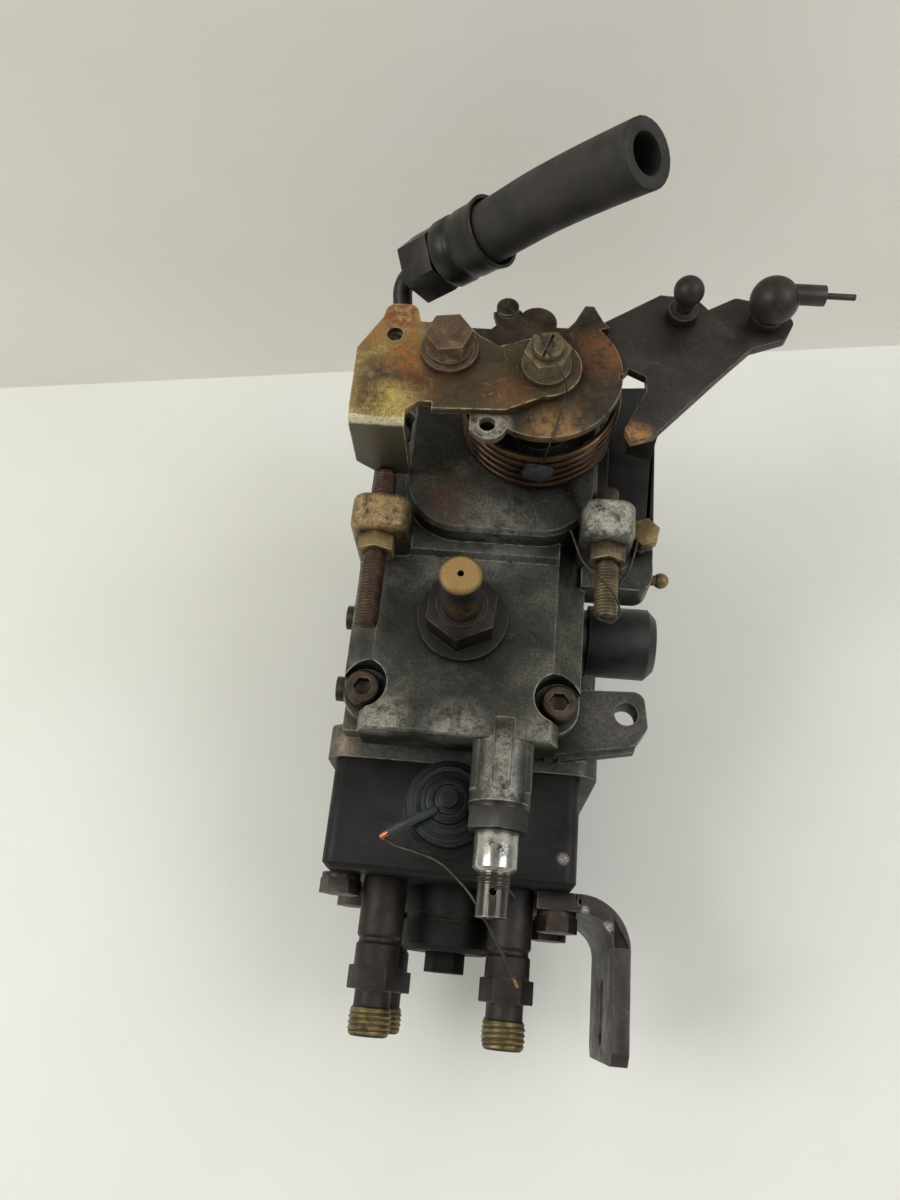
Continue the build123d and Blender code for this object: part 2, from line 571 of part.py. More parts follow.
def head_bolts():
    """Hexagon bolts with washers, through the head's corners."""
    bolts = []
    for x in (-HEAD_BOLT_X, HEAD_BOLT_X):
        for z in (-HEAD_BOLT_Z, HEAD_BOLT_Z):
            seat = HEAD_REAR_Y
            if x > 0:
                seat -= BRACKET_THICK
            bolt = rod_y(HEAD_BOLT_R * 1.7, seat - 1.5, seat, x, z)
            bolt += hexagon_y(HEAD_BOLT_AF, seat - 6, seat - 1.5, x, z)
            bolts.append(bolt + rod_y(HEAD_BOLT_R - FIT, seat, HEAD_Y + 9, x, z))
    return Compound(children=bolts)


def centre_plug():
    """Closing plug on the head's axis, with a waist and a chamfered rim."""
    end = HEAD_REAR_Y - PLUG_LENGTH
    plug = rod_y(PLUG_R, end, HEAD_REAR_Y)
    plug = chamfer(plug.faces().sort_by(Axis.Y)[0].edges(), 1.5)
    plug -= rod_y(PLUG_R + 1, end + 9, end + 11) - rod_y(PLUG_R - 1, end + 9, end + 11)
    return plug - rod_y(4 + FIT, end, end + 8)


def bleed_screw():
    """Small hexagon screw in the middle of the centre plug."""
    end = HEAD_REAR_Y - PLUG_LENGTH
    screw = hexagon_y(11, end - 6, end)
    screw = screw & rod_y(6.3, end - 6, end)
    return screw + rod_y(4, end, end + 7)


def holder_profile():
    """Half section of a delivery valve holder, radius against distance from the head."""
    return [(0, 10), (HOLDER_BARREL_R - 1.6, 10), (HOLDER_BARREL_R - 1.6, 0), (HOLDER_BARREL_R, 0),
            (HOLDER_BARREL_R, -17), (HOLDER_BARREL_R - 0.7, -17.6), (HOLDER_BARREL_R - 0.7, -18.8),
            (HOLDER_BARREL_R, -19.4), (HOLDER_BARREL_R, -25.4), (5.3, -25.4), (5.3, -36.4),
            (HOLDER_THREAD_R, -37), (HOLDER_THREAD_R, -HOLDER_LENGTH + 0.8),
            (HOLDER_THREAD_R - 0.8, -HOLDER_LENGTH), (0, -HOLDER_LENGTH)]


def delivery_valve_holders():
    """Four identical outlet fittings: barrel, hexagon, neck and threaded end."""
    outline = make_face(Polyline(*[(r, HEAD_REAR_Y + d) for r, d in holder_profile()], close=True))
    turned = revolve(outline, Axis.Y)
    turned += hexagon_y(HOLDER_HEX_AF, HEAD_REAR_Y - 32, HEAD_REAR_Y - 25.4)
    turned -= rod_y(1.5, HEAD_REAR_Y - HOLDER_LENGTH, HEAD_REAR_Y + 10)
    turned -= rod_y(3.2, HEAD_REAR_Y - 14, HEAD_REAR_Y + 10)
    return Compound(children=[Pos(x, 0, z) * turned for x, z in VALVE_CENTRES])


def delivery_valves():
    """Delivery valve cones with their stems, seated in the holders."""
    cone = rod_y(2.9, HEAD_REAR_Y - 3, HEAD_REAR_Y + 2) + rod_y(1.6, HEAD_REAR_Y + 2,
                                                               HEAD_REAR_Y + 9)
    return Compound(children=[Pos(x, 0, z) * cone for x, z in VALVE_CENTRES])


def fuel_cut_solenoid():
    """Fuel shut-off solenoid: stepped steel can with an insulated top and a terminal."""
    y = SOLENOID_Y
    base = HALF_HEAD + 1.5
    top = base + SOLENOID_HEIGHT
    can = rod_z(SOLENOID_R, base, top - 2, SOLENOID_X, y)
    can += rod_z(SOLENOID_R - 1, top - 2, top - 0.8, SOLENOID_X, y)
    can += rod_z(9.2, top - 0.8, top + 0.8, SOLENOID_X, y)
    can += rod_z(4, top + 0.8, top + 2, SOLENOID_X, y) + rod_z(2.6, top + 2, top + 4.5,
                                                              SOLENOID_X, y)
    can += rod_z(6, HALF_HEAD - 10, base, SOLENOID_X, y)
    return can - rod_z(3 + RUN, HALF_HEAD - 10, base + 4, SOLENOID_X, y)


def solenoid_plunger():
    """Armature that closes the filling port when the current is off."""
    return rod_z(3, HALF_HEAD - 11.5, HALF_HEAD + 1.5 + 1.2, SOLENOID_X, SOLENOID_Y)


# ---------------------------------------------------------------- drive train

def drive_shaft():
    """Drive shaft with its key: thread, taper for the gear, journal, pump seat and claws."""
    seat_start = SHAFT_TIP - SHAFT_THREAD_LENGTH
    rear = CAGE_FRONT_Y - 4
    points = [(0, SHAFT_TIP), (SHAFT_THREAD_R - 1, SHAFT_TIP), (SHAFT_THREAD_R, SHAFT_TIP - 1),
              (SHAFT_THREAD_R, seat_start), (SHAFT_SEAT_R, seat_start - 0.5),
              (JOURNAL_R, PILOT_LENGTH + 2), (JOURNAL_R, FEED_FRONT_Y),
              (SHAFT_SEAT_R, FEED_FRONT_Y), (SHAFT_SEAT_R, CAGE_FRONT_Y),
              (SHAFT_COLLAR_R, CAGE_FRONT_Y), (SHAFT_COLLAR_R, rear), (0, rear)]
    shaft = revolve(make_face(Polyline(*points, close=True)), Axis.Y)
    claw_end = CAM_FACE_Y + 7
    for side in (-1, 1):
        claw = block(side * 5, side * SHAFT_COLLAR_R, claw_end, rear, -4, 4)
        shaft += claw & rod_y(SHAFT_COLLAR_R, claw_end, rear)
    key_front = PILOT_LENGTH + 5
    return shaft + block(-KEY_WIDTH / 2, KEY_WIDTH / 2, key_front, key_front + KEY_LENGTH,
                         SHAFT_SEAT_R - 2, JOURNAL_R + 1)


def shaft_bush():
    """Plain bearing bush in the housing's front wall."""
    return rod_y(JOURNAL_R + BUSH_WALL - 0.02, FEED_FRONT_Y, -0.5) - rod_y(
        JOURNAL_R + RUN, FEED_FRONT_Y, -0.5)


def shaft_seal():
    """Radial lip seal in the pilot."""
    ring = rod_y(JOURNAL_R + 6 - 0.02, 0, PILOT_LENGTH - 1)
    ring -= rod_y(JOURNAL_R + 3, 2, PILOT_LENGTH - 1)
    return ring - rod_y(JOURNAL_R + RUN, 0, 2)


def feed_pump_liner():
    """Eccentric ring of the vane-type feed pump."""
    ring = rod_y(FEED_LINER_R, FEED_FRONT_Y - FEED_LINER_THICK, FEED_FRONT_Y)
    return ring - rod_y(FEED_ROTOR_R + 0.8 + FEED_OFFSET, FEED_FRONT_Y - FEED_LINER_THICK,
                        FEED_FRONT_Y, FEED_OFFSET)


def vane_slot(turn, growth=0.0):
    """Space of one vane in the rotor."""
    rear = FEED_FRONT_Y - FEED_LINER_THICK + 0.05
    half = 1.2 + growth
    return Rot(0, turn, 0) * block(11 - growth, FEED_ROTOR_R + 0.5, rear, FEED_FRONT_Y - 0.05,
                                   -half, half)


def feed_pump_rotor():
    """Slotted rotor on the drive shaft."""
    rotor = rod_y(FEED_ROTOR_R, FEED_FRONT_Y - FEED_LINER_THICK + 0.05, FEED_FRONT_Y - 0.05)
    rotor -= rod_y(SHAFT_SEAT_R + 0.02, FEED_FRONT_Y - FEED_LINER_THICK, FEED_FRONT_Y)
    for turn in (0, 90, 180, 270):
        rotor -= vane_slot(turn, 0.03)
    return rotor


def feed_pump_vanes():
    """Four vanes, held at the least gap between rotor and liner."""
    return Compound(children=[vane_slot(turn) for turn in (0, 90, 180, 270)])


def feed_pump_cover():
    """Plate that closes the feed pump."""
    rear = FEED_FRONT_Y - FEED_LINER_THICK - FEED_PLATE_THICK
    disc = rod_y(FEED_LINER_R, rear, rear + FEED_PLATE_THICK)
    return disc - rod_y(SHAFT_SEAT_R + GAP, rear, rear + FEED_PLATE_THICK)


def gear_on_y(teeth, y_front, bore, phase):
    """Gear with its axis along Y, front face at y_front, a tooth turned by phase from +Z."""
    wheel = gear(teeth, GEAR_WIDTH, phase + 90) - Cylinder(
        bore, GEAR_WIDTH, align=(Align.CENTER, Align.CENTER, Align.MIN))
    return Pos(0, y_front, 0) * Rot(90, 0, 0) * wheel


def governor_drive_gear():
    """Gear on the drive shaft that turns the governor, with a gap between teeth on top."""
    return gear_on_y(DRIVE_TEETH, GEAR_FRONT_Y, SHAFT_SEAT_R + 0.02, 180 / DRIVE_TEETH)


def roller_ring():
    """Ring that carries the rollers and can be turned a little by the timing piston."""
    ring = rod_y(ROLLER_RING_R, RING_REAR_Y, ROLLER_RING_FRONT_Y)
    ring -= rod_y(SHAFT_COLLAR_R + 1.2, RING_REAR_Y, ROLLER_RING_FRONT_Y)
    for turn in (45, 135, 225, 315):
        ring -= Rot(0, turn, 0) * rod_x(ROLLER_R + 0.1, 15, 24.2, ROLLER_Y, 0)
    ring -= block(-20, 20, RING_REAR_Y, ROLLER_RING_FRONT_Y, GOVERNOR_Z - CAGE_R - 0.5, BORE_R)
    return ring + rod_z(3.5, TIMER_Z - 4, -ROLLER_RING_R + 2, 0, RING_MID_Y)


def rollers():
    """Four rollers on radial axes, in the ring's pockets."""
    return Compound(children=[Rot(0, turn, 0) * rod_x(ROLLER_R, 15.2, 24, ROLLER_Y, 0)
                              for turn in (45, 135, 225, 315)])


def cam_disc():
    """Face cam with four lobes that reach towards the rollers, and jaws for the coupling."""
    disc = rod_y(CAM_R, CAM_REAR_Y, CAM_FACE_Y)
    for turn in (45, 135, 225, 315):
        lobe = block(14.6, CAM_R + 1, CAM_FACE_Y - 1, CAM_CREST_Y, -6, 6)
        lobe = chamfer(lobe.edges().filter_by(Axis.X).sort_by(Axis.Y)[-2:], 2)
        disc += Rot(0, turn, 0) * lobe & rod_y(CAM_R, CAM_FACE_Y - 1, CAM_CREST_Y)
    disc += rod_y(12, CAM_FACE_Y, CAM_FACE_Y + 6.6)
    for side in (-1, 1):
        jaw = block(-4, 4, CAM_FACE_Y + 6, CAM_FACE_Y + 13, side * 5, side * 12.9)
        disc += jaw & rod_y(12.9, CAM_FACE_Y + 6, CAM_FACE_Y + 13)
    return disc - rod_y(PLUNGER_R + FIT, CAM_REAR_Y, CAM_FACE_Y - 3)


def plunger():
    """Distributor plunger: foot, control stem and metering grooves at the far end."""
    stem = rod_y(PLUNGER_R, HEAD_REAR_Y + 4, CAM_FACE_Y - 3.2)
    stem += rod_y(10, CAM_REAR_Y - 4, CAM_REAR_Y - 0.2)
    for turn in (0, 90, 180, 270):
        stem -= Rot(0, turn, 0) * block(4.4, 6, HEAD_REAR_Y + 4, HEAD_REAR_Y + 14, -1, 1)
    return stem


def control_sleeve():
    """Sleeve on the plunger whose place sets the end of delivery."""
    y = GOVERNOR_LEVER_Y - 6
    sleeve = rod_y(9, y - 5, y + 5) - rod_y(PLUNGER_R + RUN, y - 5, y + 5)
    return sleeve - rod_z(2.6, 4, 10, 0, y)


def coil(radius, wire, height, turns, steps=16):
    """Coil of faceted wire along Z, from the origin upwards, starting on +X."""
    points = []
    for i in range(int(turns * steps) + 1):
        angle = 2 * math.pi * i / steps
        points.append((radius * math.cos(angle), radius * math.sin(angle),
                       height * i / (turns * steps)))
    path = Polyline(*points)
    section = Plane(origin=path @ 0, z_dir=path % 0) * RegularPolygon(wire, 6)
    return sweep(section, path=path, transition=Transition.RIGHT)


def plunger_springs():
    """Pair of springs with their bridge, which hold the cam disc on the rollers."""
    wire = 0.7
    bridge_y = CAM_REAR_Y - 4 - GAP
    bridge = block(-21, 21, bridge_y - 3, bridge_y, -16, -7)
    bridge += rod_y(9, bridge_y - 3, bridge_y)
    bridge -= rod_y(PLUNGER_R + 0.6, bridge_y - 3, bridge_y)
    base = HEAD_Y + 8 + wire + FIT
    height = bridge_y - 3 - wire - FIT - base
    upright = Rot(-90, 0, 0) * coil(3.2, wire, height, 6, 10)
    pair = [Pos(side * 16, base, -12) * upright for side in (-1, 1)]
    return Compound(children=[bridge] + pair)


# ---------------------------------------------------------------- governor

def governor_shaft():
    """Fixed shaft that the flyweight cage turns on."""
    return rod_y(GOVERNOR_SHAFT_R - FIT, -92, CHAMBER_FRONT_Y + 9, 0, GOVERNOR_Z)


def flyweight_pocket():
    """Space that one flyweight swings in, on top of the cage."""
    return block(-WEIGHT_WIDTH / 2 - GAP, WEIGHT_WIDTH / 2 + GAP, CAGE_REAR_Y,
                 CAGE_FRONT_Y - 2, 4.2, CAGE_R + 1)


def flyweight_cage():
    """Cage with its gear: disc at the front, four posts between the weights."""
    cage = rod_y(CAGE_R, CAGE_REAR_Y, CAGE_FRONT_Y)
    cage -= rod_y(SLEEVE_R + 0.6, CAGE_REAR_Y, CAGE_FRONT_Y - 2)
    for turn in (0, 90, 180, 270):
        cage -= Rot(0, turn, 0) * flyweight_pocket()
    cage += gear_on_y(GOVERNOR_TEETH, GEAR_FRONT_Y, GOVERNOR_SHAFT_R / 2, 180)
    cage -= rod_y(GOVERNOR_SHAFT_R - FIT + RUN, CAGE_REAR_Y, GEAR_FRONT_Y)
    return Pos(0, 0, GOVERNOR_Z) * cage


def flyweight(turn):
    """One flyweight: block behind its pivot, toe in front of the sleeve's collar."""
    front = WEIGHT_PIVOT_Y + 2.2
    body = block(-WEIGHT_WIDTH / 2, WEIGHT_WIDTH / 2, WEIGHT_PIVOT_Y - 11.5, front,
                 WEIGHT_PIVOT_R - 2, WEIGHT_PIVOT_R + 1.7)
    body = chamfer(body.edges().filter_by(Axis.X).sort_by(Axis.Y)[-2:], 1.2)
    toe = block(-2.5, 2.5, WEIGHT_PIVOT_Y - 2, WEIGHT_PIVOT_Y + 0.5, 4.8, WEIGHT_PIVOT_R - 1)
    pin = rod_x(0.9, -WEIGHT_WIDTH / 2 - 0.2, WEIGHT_WIDTH / 2 + 0.2, WEIGHT_PIVOT_Y,
                WEIGHT_PIVOT_R)
    return Rot(0, turn, 0) * (body + toe + pin)


def flyweights():
    """Four flyweights round the governor shaft, folded in."""
    turns = (0, 90, 180, 270)
    return Compound(children=[Pos(0, 0, GOVERNOR_Z) * flyweight(turn) for turn in turns])


def governor_sleeve():
    """Sliding sleeve that carries the flyweights' thrust to the lever."""
    sleeve = rod_y(SLEEVE_R, SLEEVE_FRONT_Y - 2, SLEEVE_FRONT_Y, 0, GOVERNOR_Z)
    sleeve += rod_y(SLEEVE_R - 1, SLEEVE_FRONT_Y - SLEEVE_LENGTH, SLEEVE_FRONT_Y - 2,
                    0, GOVERNOR_Z)
    return sleeve - rod_y(GOVERNOR_SHAFT_R - FIT + RUN, SLEEVE_FRONT_Y - SLEEVE_LENGTH,
                          SLEEVE_FRONT_Y, 0, GOVERNOR_Z)


def governor_lever():
    """Rocking lever: spring arm on top, pad for the sleeve, ball pin for the control sleeve."""
    y = GOVERNOR_LEVER_Y
    z = GOVERNOR_LEVER_Z
    beam = block(-7, 7, LEVER_FACE_Y - 5, LEVER_FACE_Y, z - 4, CRANK_Z + 4)
    beam -= block(-4.6, 4.6, LEVER_FACE_Y - 5, LEVER_FACE_Y, GOVERNOR_Z - 6.5, GOVERNOR_Z + 6.5)
    beam += block(-5, 5, y - 4, LEVER_FACE_Y, z - 5, z + 5)
    beam += block(0, CRANK_X + 4, LEVER_FACE_Y - 5, LEVER_FACE_Y - 1.5, CRANK_Z - 3, CRANK_Z + 5)
    beam += block(-2.4, 2.4, y - 7.5, y - 1, z - 9, z - 4)
    beam += rod_z(2.2, CONTROL_PIN_Z, z - 6, 0, y - 6)
    beam += Pos(0, y - 6, CONTROL_PIN_Z) * Sphere(2.5)
    return beam - rod_x(2.5 + RUN, -6, 6, y, z)


def lever_pivot():
    """Cross pin in the housing walls on which the governor lever rocks."""
    return rod_x(2.5, -CHAMBER_HALF_W, CHAMBER_HALF_W, GOVERNOR_LEVER_Y, GOVERNOR_LEVER_Z)


def governor_spring():
    """Main governor spring, from the crank of the throttle shaft to the lever's arm."""
    front = LEVER_Y - math.hypot(CRANK_X - LEVER_X, CRANK_BACK) - 2 - GAP
    rear = LEVER_FACE_Y - 1.5 + GAP
    spring = Rot(0, 0, 180) * coil(2.8, 0.6, front - rear - 6, 11, 8)
    eyes = rod_y(0.6, front - 4, front) + rod_y(0.6, rear, rear + 4)
    laid = Pos(0, rear + 3, 0) * Rot(-90, 0, 0) * spring
    return Pos(CRANK_X, 0, CRANK_Z) * (laid + Pos(-2.8, 0, 0) * eyes)


# ---------------------------------------------------------------- timing device

def timer_piston():
    """Timing piston with the hole for the roller ring's pin."""
    piston = rod_x(TIMER_BORE_R - RUN, -TIMER_PISTON_LENGTH / 2 - 6, TIMER_PISTON_LENGTH / 2 - 6,
                   RING_MID_Y, TIMER_Z)
    piston -= block(-5.8, 5.8, RING_MID_Y - 4, RING_MID_Y + 4, TIMER_Z - 5, TIMER_Z + TIMER_BORE_R)
    return piston - rod_x(7, TIMER_PISTON_LENGTH / 2 - 13, TIMER_PISTON_LENGTH / 2 - 6,
                          RING_MID_Y, TIMER_Z)


def timer_spring():
    """Spring on the low-pressure side of the timing piston."""
    start = TIMER_PISTON_LENGTH / 2 - 6 + 1.2 + GAP
    length = TIMER_HALF_LENGTH - start - 1.2 - GAP
    spring = coil(10, 1.2, length, 4)
    return Pos(start, RING_MID_Y, TIMER_Z) * Rot(0, 90, 0) * spring


def timer_screws(radius, side, near, far):
    """Bars at the four screw places of one timer cover."""
    reach = TIMER_COVER_SIDE / 2 - 5
    return [rod_x(radius, side * near, side * far, RING_MID_Y + dy, TIMER_Z + dz)
            for dy in (-reach, reach) for dz in (-reach, reach)]


def timer_covers():
    """Square end covers of the timing device."""
    half = TIMER_COVER_SIDE / 2
    covers = []
    for side in (-1, 1):
        face = side * TIMER_HALF_LENGTH
        cover = block(face, face + side * TIMER_COVER_THICK, RING_MID_Y - half,
                      RING_MID_Y + half, TIMER_Z - half, TIMER_Z + half)
        cover = fillet(cover.edges().filter_by(Axis.X), 5)
        cover += rod_x(11, face, face + side * (TIMER_COVER_THICK + 2), RING_MID_Y, TIMER_Z)
        for bar in timer_screws(3.2, side, TIMER_HALF_LENGTH,
                                TIMER_HALF_LENGTH + TIMER_COVER_THICK):
            cover -= bar
        covers.append(cover)
    return Compound(children=covers)


def timer_cover_screws():
    """Eight socket-head screws, M6, in the timer covers."""
    screws = []
    face = TIMER_HALF_LENGTH + TIMER_COVER_THICK
    for side in (-1, 1):
        heads = timer_screws(4.8, side, face, face + 6)
        shanks = timer_screws(3 - 2 * FIT, side, TIMER_HALF_LENGTH - 6.5, face)
        sockets = timer_screws(2.4, side, face + 3, face + 6)
        for head, shank, socket in zip(heads, shanks, sockets):
            screws.append(head + shank - socket)
    return Compound(children=screws)


def pressure_valve():
    """Pressure regulating valve, screwed into the left of the housing by the feed pump."""
    head = rod_x(7, -BARREL_R - 6, -BARREL_R - 1.2, VALVE_BODY_Y, 0)
    body = rod_x(5 - FIT, -BARREL_R - 1.2, -FEED_LINER_R - 2, VALVE_BODY_Y, 0)
    socket = rod_x(3, -BARREL_R - 6, -BARREL_R - 3, VALVE_BODY_Y, 0)
    return head + body - socket


# ---------------------------------------------------------------- lever gear

def lever_shaft():
    """Throttle shaft: crank and pin inside, slotted threaded end outside."""
    shaft = rod_z(LEVER_SHAFT_R, CRANK_Z + 5, STACK_Z, LEVER_X, LEVER_Y)
    shaft += rod_z(4, STACK_Z, STACK_Z + 9.3, LEVER_X, LEVER_Y)
    crank = block(LEVER_X - 4, CRANK_X + 2, LEVER_Y - CRANK_BACK - 2, LEVER_Y,
                  CRANK_Z + 5, CRANK_Z + 8)
    shaft += crank + rod_z(2, CRANK_Z - 3, CRANK_Z + 6, CRANK_X, LEVER_Y - CRANK_BACK)
    slot = Rot(0, 0, 72) * Box(9, 1, 2)
    return shaft - Pos(LEVER_X, LEVER_Y, STACK_Z + 9.3) * slot


def throttle_outline():
    """Outline of the throttle lever from its hub past both ball studs to the claw."""
    return [(20, -14), (33.2, -3.5), (50, 8.2), (60.5, 7.6), (64, 3.6), (72, 8.6), (78, 7.4),
            (86, 5.4), (88.6, 0.5), (86, -5.5), (76, -9.6), (68, -18.5), (48.6, -41),
            (42.2, -43.4), (40.4, -39.6), (46.4, -26.4), (46, -21.6), (41.2, -19.2), (30, -34)]


def throttle_lever():
    """Steel throttle lever with its hub, claw and the tab that meets the speed screw."""
    lever = plate(throttle_outline(), LEVER_Z, PLATE_Z)
    edges = upright_edges(lever).filter_by_position(Axis.X, 70, 95)
    lever = fillet(edges, 2.2)
    lever += rod_z(14, LEVER_Z, PLATE_Z, LEVER_X, LEVER_Y)
    lever += rod_z(8.5, TOWER_TOP + GAP, LEVER_Z, LEVER_X, LEVER_Y)
    across = SPEED_SCREW_X + ADJUSTER_R - LEVER_X
    reach = math.hypot(across, SPEED_TIP_Y - LEVER_Y)
    turn = math.degrees(math.atan2(SPEED_TIP_Y - LEVER_Y, across)) + THROTTLE_TRAVEL + 0.6
    tab = block(reach - 6, reach + 2, 0, 3, SPEED_SCREW_Z - 4, LEVER_Z)
    lever += Pos(LEVER_X, LEVER_Y, 0) * Rot(0, 0, turn) * tab
    for x, y in ((STUD_X, STUD_Y), (SOCKET_X, SOCKET_Y)):
        lever -= rod_z(STUD_NECK_R, LEVER_Z, PLATE_Z, x, y)
    return lever - rod_z(LEVER_SHAFT_R, TOWER_TOP, PLATE_Z, LEVER_X, LEVER_Y)


def spring_plate():
    """Round plate over the return spring with a hooked ear, a lobe and a peak."""
    shape = rod_z(SPRING_PLATE_R, PLATE_Z, STOP_Z, LEVER_X, LEVER_Y)
    shape -= block(LEVER_X - 20, LEVER_X + 9, LEVER_Y + 16, LEVER_Y + 25, PLATE_Z, STOP_Z)
    shape += plate([(2, -47.3), (-2.6, -44.5), (-2.8, -39), (2, -30), (14, -40)], PLATE_Z, STOP_Z)
    shape += rod_z(5.2, PLATE_Z, STOP_Z, 2.6, -42.2)
    shape += plate([(35, -7), (33, -4.6), (30.4, 0.4), (27.8, 0.4), (25, -5.6), (20, -12)],
                   PLATE_Z, STOP_Z)
    shape += rod_z(5.7, PLATE_Z, STOP_Z, 14.2, -6.8)
    shape += plate([(1.2, -3.6), (9, -2.4), (13, -8), (4, -12)], PLATE_Z, STOP_Z)
    shape += rod_z(3.3, LEVER_Z, PLATE_Z + 3.4, 5.3, -2.2)
    shape += block(-12, 12, -30, -9.8, PLATE_Z, STOP_Z)
    shape -= block(38.4, 42, -24.8, -23.2, PLATE_Z, STOP_Z)
    shape -= rod_z(2.3, PLATE_Z, STOP_Z, 2.3, -42.5)
    shape -= rod_z(BOLT_R, PLATE_Z, STOP_Z, BOLT_X, BOLT_Y)
    return shape - rod_z(LEVER_SHAFT_R, PLATE_Z, STOP_Z, LEVER_X, LEVER_Y)


def stop_bracket():
    """Zinc-plated stop bracket: strip to the shaft, folded block, tab on the idle screw."""
    front = IDLE_TIP_Y + GAP
    nose = plate([(-31, -13), (-29.4, -4.6), (-20.8, -4.6), (-18.6, -13)], STOP_Z, STACK_Z)
    top = plate([(-36.6, -21), (-30.5, -9.8), (-17, -10.6),
                 (-12.5, -9.6), (-6.5, -9.8), (-2, -14.5), (4, -17.8), (12, -14.6), (17.5, -14),
                 (17.5, -34), (7, -39.3), (-13.4, -40.1), (-13.4, -38), (-17.2, -38),
                 (-20.6, -41), (-20.6, front), (-36.2, front)], STOP_Z, STACK_Z)
    top += fillet(upright_edges(nose).sort_by(Axis.Y)[-2:], 3.2)
    top += rod_z(10, STOP_Z, STACK_Z, LEVER_X, LEVER_Y)
    tab = block(-36.2, -20.6, front, front + PLATE_THICK, IDLE_SCREW_Z - 1.2, STACK_Z)
    tab = chamfer(tab.edges().filter_by(Axis.Y).sort_by(Axis.Z)[:1], 6)
    corner = block(-40, 0, front, front + 4, STACK_Z - 4, STACK_Z)
    roll = rod_x(4, -40, 0, front + 4, STACK_Z - 4)
    shape = top + tab - (corner - roll)
    shape -= rod_z(2.4, STOP_Z + 0.5, STACK_Z, -26.3, -15.6)
    shape -= rod_z(BOLT_R, STOP_Z, STACK_Z, BOLT_X, BOLT_Y)
    return shape - rod_z(LEVER_SHAFT_R, STOP_Z, STACK_Z, LEVER_X, LEVER_Y)


def lever_fasteners():
    """Nut on the throttle shaft and bolt of the stop bracket, M8, each with its washer."""
    nut = rod_z(7, STACK_Z, STACK_Z + 1.4, LEVER_X, LEVER_Y)
    nut += hexagon(11.4, STACK_Z + 1.4, STACK_Z + 7.4, LEVER_X, LEVER_Y, 10)
    nut -= rod_z(4, STACK_Z, STACK_Z + 7.4, LEVER_X, LEVER_Y)
    bolt = rod_z(8.2, STACK_Z, STACK_Z + 1.6, BOLT_X, BOLT_Y)
    bolt += rod_z(6.8, STACK_Z + 1.6, STACK_Z + 3.2, BOLT_X, BOLT_Y)
    bolt += hexagon(11.6, STACK_Z + 3.2, STACK_Z + 8.4, BOLT_X, BOLT_Y, 8)
    bolt += rod_z(BOLT_R, PLATE_Z - 3, STACK_Z, BOLT_X, BOLT_Y)
    return Compound(children=[nut, bolt])


def return_spring():
    """Torsion spring round the tower that turns the lever back to idle."""
    height = LEVER_Z - GAP - RETURN_SPRING_WIRE_R - RETURN_SPRING_Z
    spring = coil(RETURN_SPRING_R, RETURN_SPRING_WIRE_R, height, RETURN_SPRING_TURNS, 24)
    return Pos(LEVER_X - 0.8, LEVER_Y - 1.4, RETURN_SPRING_Z) * Rot(0, 0, -100) * spring


def ball_stud(x, y, centre_z, radius, collar):
    """Ball stud riveted in the throttle lever."""
    stud = rod_z(collar, PLATE_Z, PLATE_Z + 3, x, y)
    stud += rod_z(STUD_NECK_R, LEVER_Z - 1.5, centre_z, x, y)
    return stud + Pos(x, y, centre_z) * Sphere(radius)


def ball_studs():
    """Two ball studs for the throttle linkage."""
    plain = ball_stud(STUD_X, STUD_Y, PLATE_Z + 10.5, BALL_R, 4.3)
    other = ball_stud(SOCKET_X, SOCKET_Y, SOCKET_Z, BALL_R, 4.6)
    return Compound(children=[plain, other])


def cable_socket():
    """Ball socket of the throttle cable with its ferrule and the cut cable end."""
    low = SOCKET_Z - SOCKET_R
    cup = Pos(SOCKET_X, SOCKET_Y, SOCKET_Z) * Sphere(SOCKET_R)
    y = SOCKET_Y + 1.2
    z = SOCKET_Z + 1.5
    cup += rod_x(2.9, SOCKET_X + 4, SOCKET_X + 13.5, y, z)
    cup += rod_x(0.9, SOCKET_X + 13.5, SOCKET_X + 22, y, z)
    cup -= rod_z(SOCKET_R, low - 1, SOCKET_Z - 3.6, SOCKET_X, SOCKET_Y)
    cup -= Pos(SOCKET_X, SOCKET_Y, SOCKET_Z) * Sphere(BALL_R + RUN)
    return cup - rod_z(3.4, low, SOCKET_Z, SOCKET_X, SOCKET_Y)


def stop_screw(x, z, tip, length):
    """Long adjusting screw, M6, with a rounded tip and a slotted rear end."""
    screw = rod_y(ADJUSTER_R, tip - length, tip, x, z)
    screw = chamfer(screw.faces().sort_by(Axis.Y)[0].edges(), 0.6)
    screw = fillet(screw.faces().sort_by(Axis.Y)[-1].edges(), 1)
    return screw - block(x - 3.5, x + 3.5, tip - length, tip - length + 1.6, z - 0.5, z + 0.5)


def idle_screw():
    """Idle speed screw on the left."""
    return stop_screw(IDLE_SCREW_X, IDLE_SCREW_Z, IDLE_TIP_Y, IDLE_SCREW_LENGTH)


def speed_screw():
    """Full speed screw on the right."""
    return stop_screw(SPEED_SCREW_X, SPEED_SCREW_Z, SPEED_TIP_Y, SPEED_SCREW_LENGTH)


def lock_nuts():
    """Lock nuts of the two stop screws, behind their lugs."""
    nuts = []
    for x, z, seat in ((IDLE_SCREW_X, IDLE_SCREW_Z, IDLE_LUG_REAR_Y),
                       (SPEED_SCREW_X, SPEED_SCREW_Z, SPEED_LUG_REAR_Y)):
        rear = seat - ADJUSTER_NUT_THICK
        nut = hexagon_y(ADJUSTER_NUT_AF, rear, seat, x, z, 30)
        nuts.append(nut - rod_y(ADJUSTER_R, rear, seat, x, z))
    return Compound(children=nuts)


# ---------------------------------------------------------------- fittings

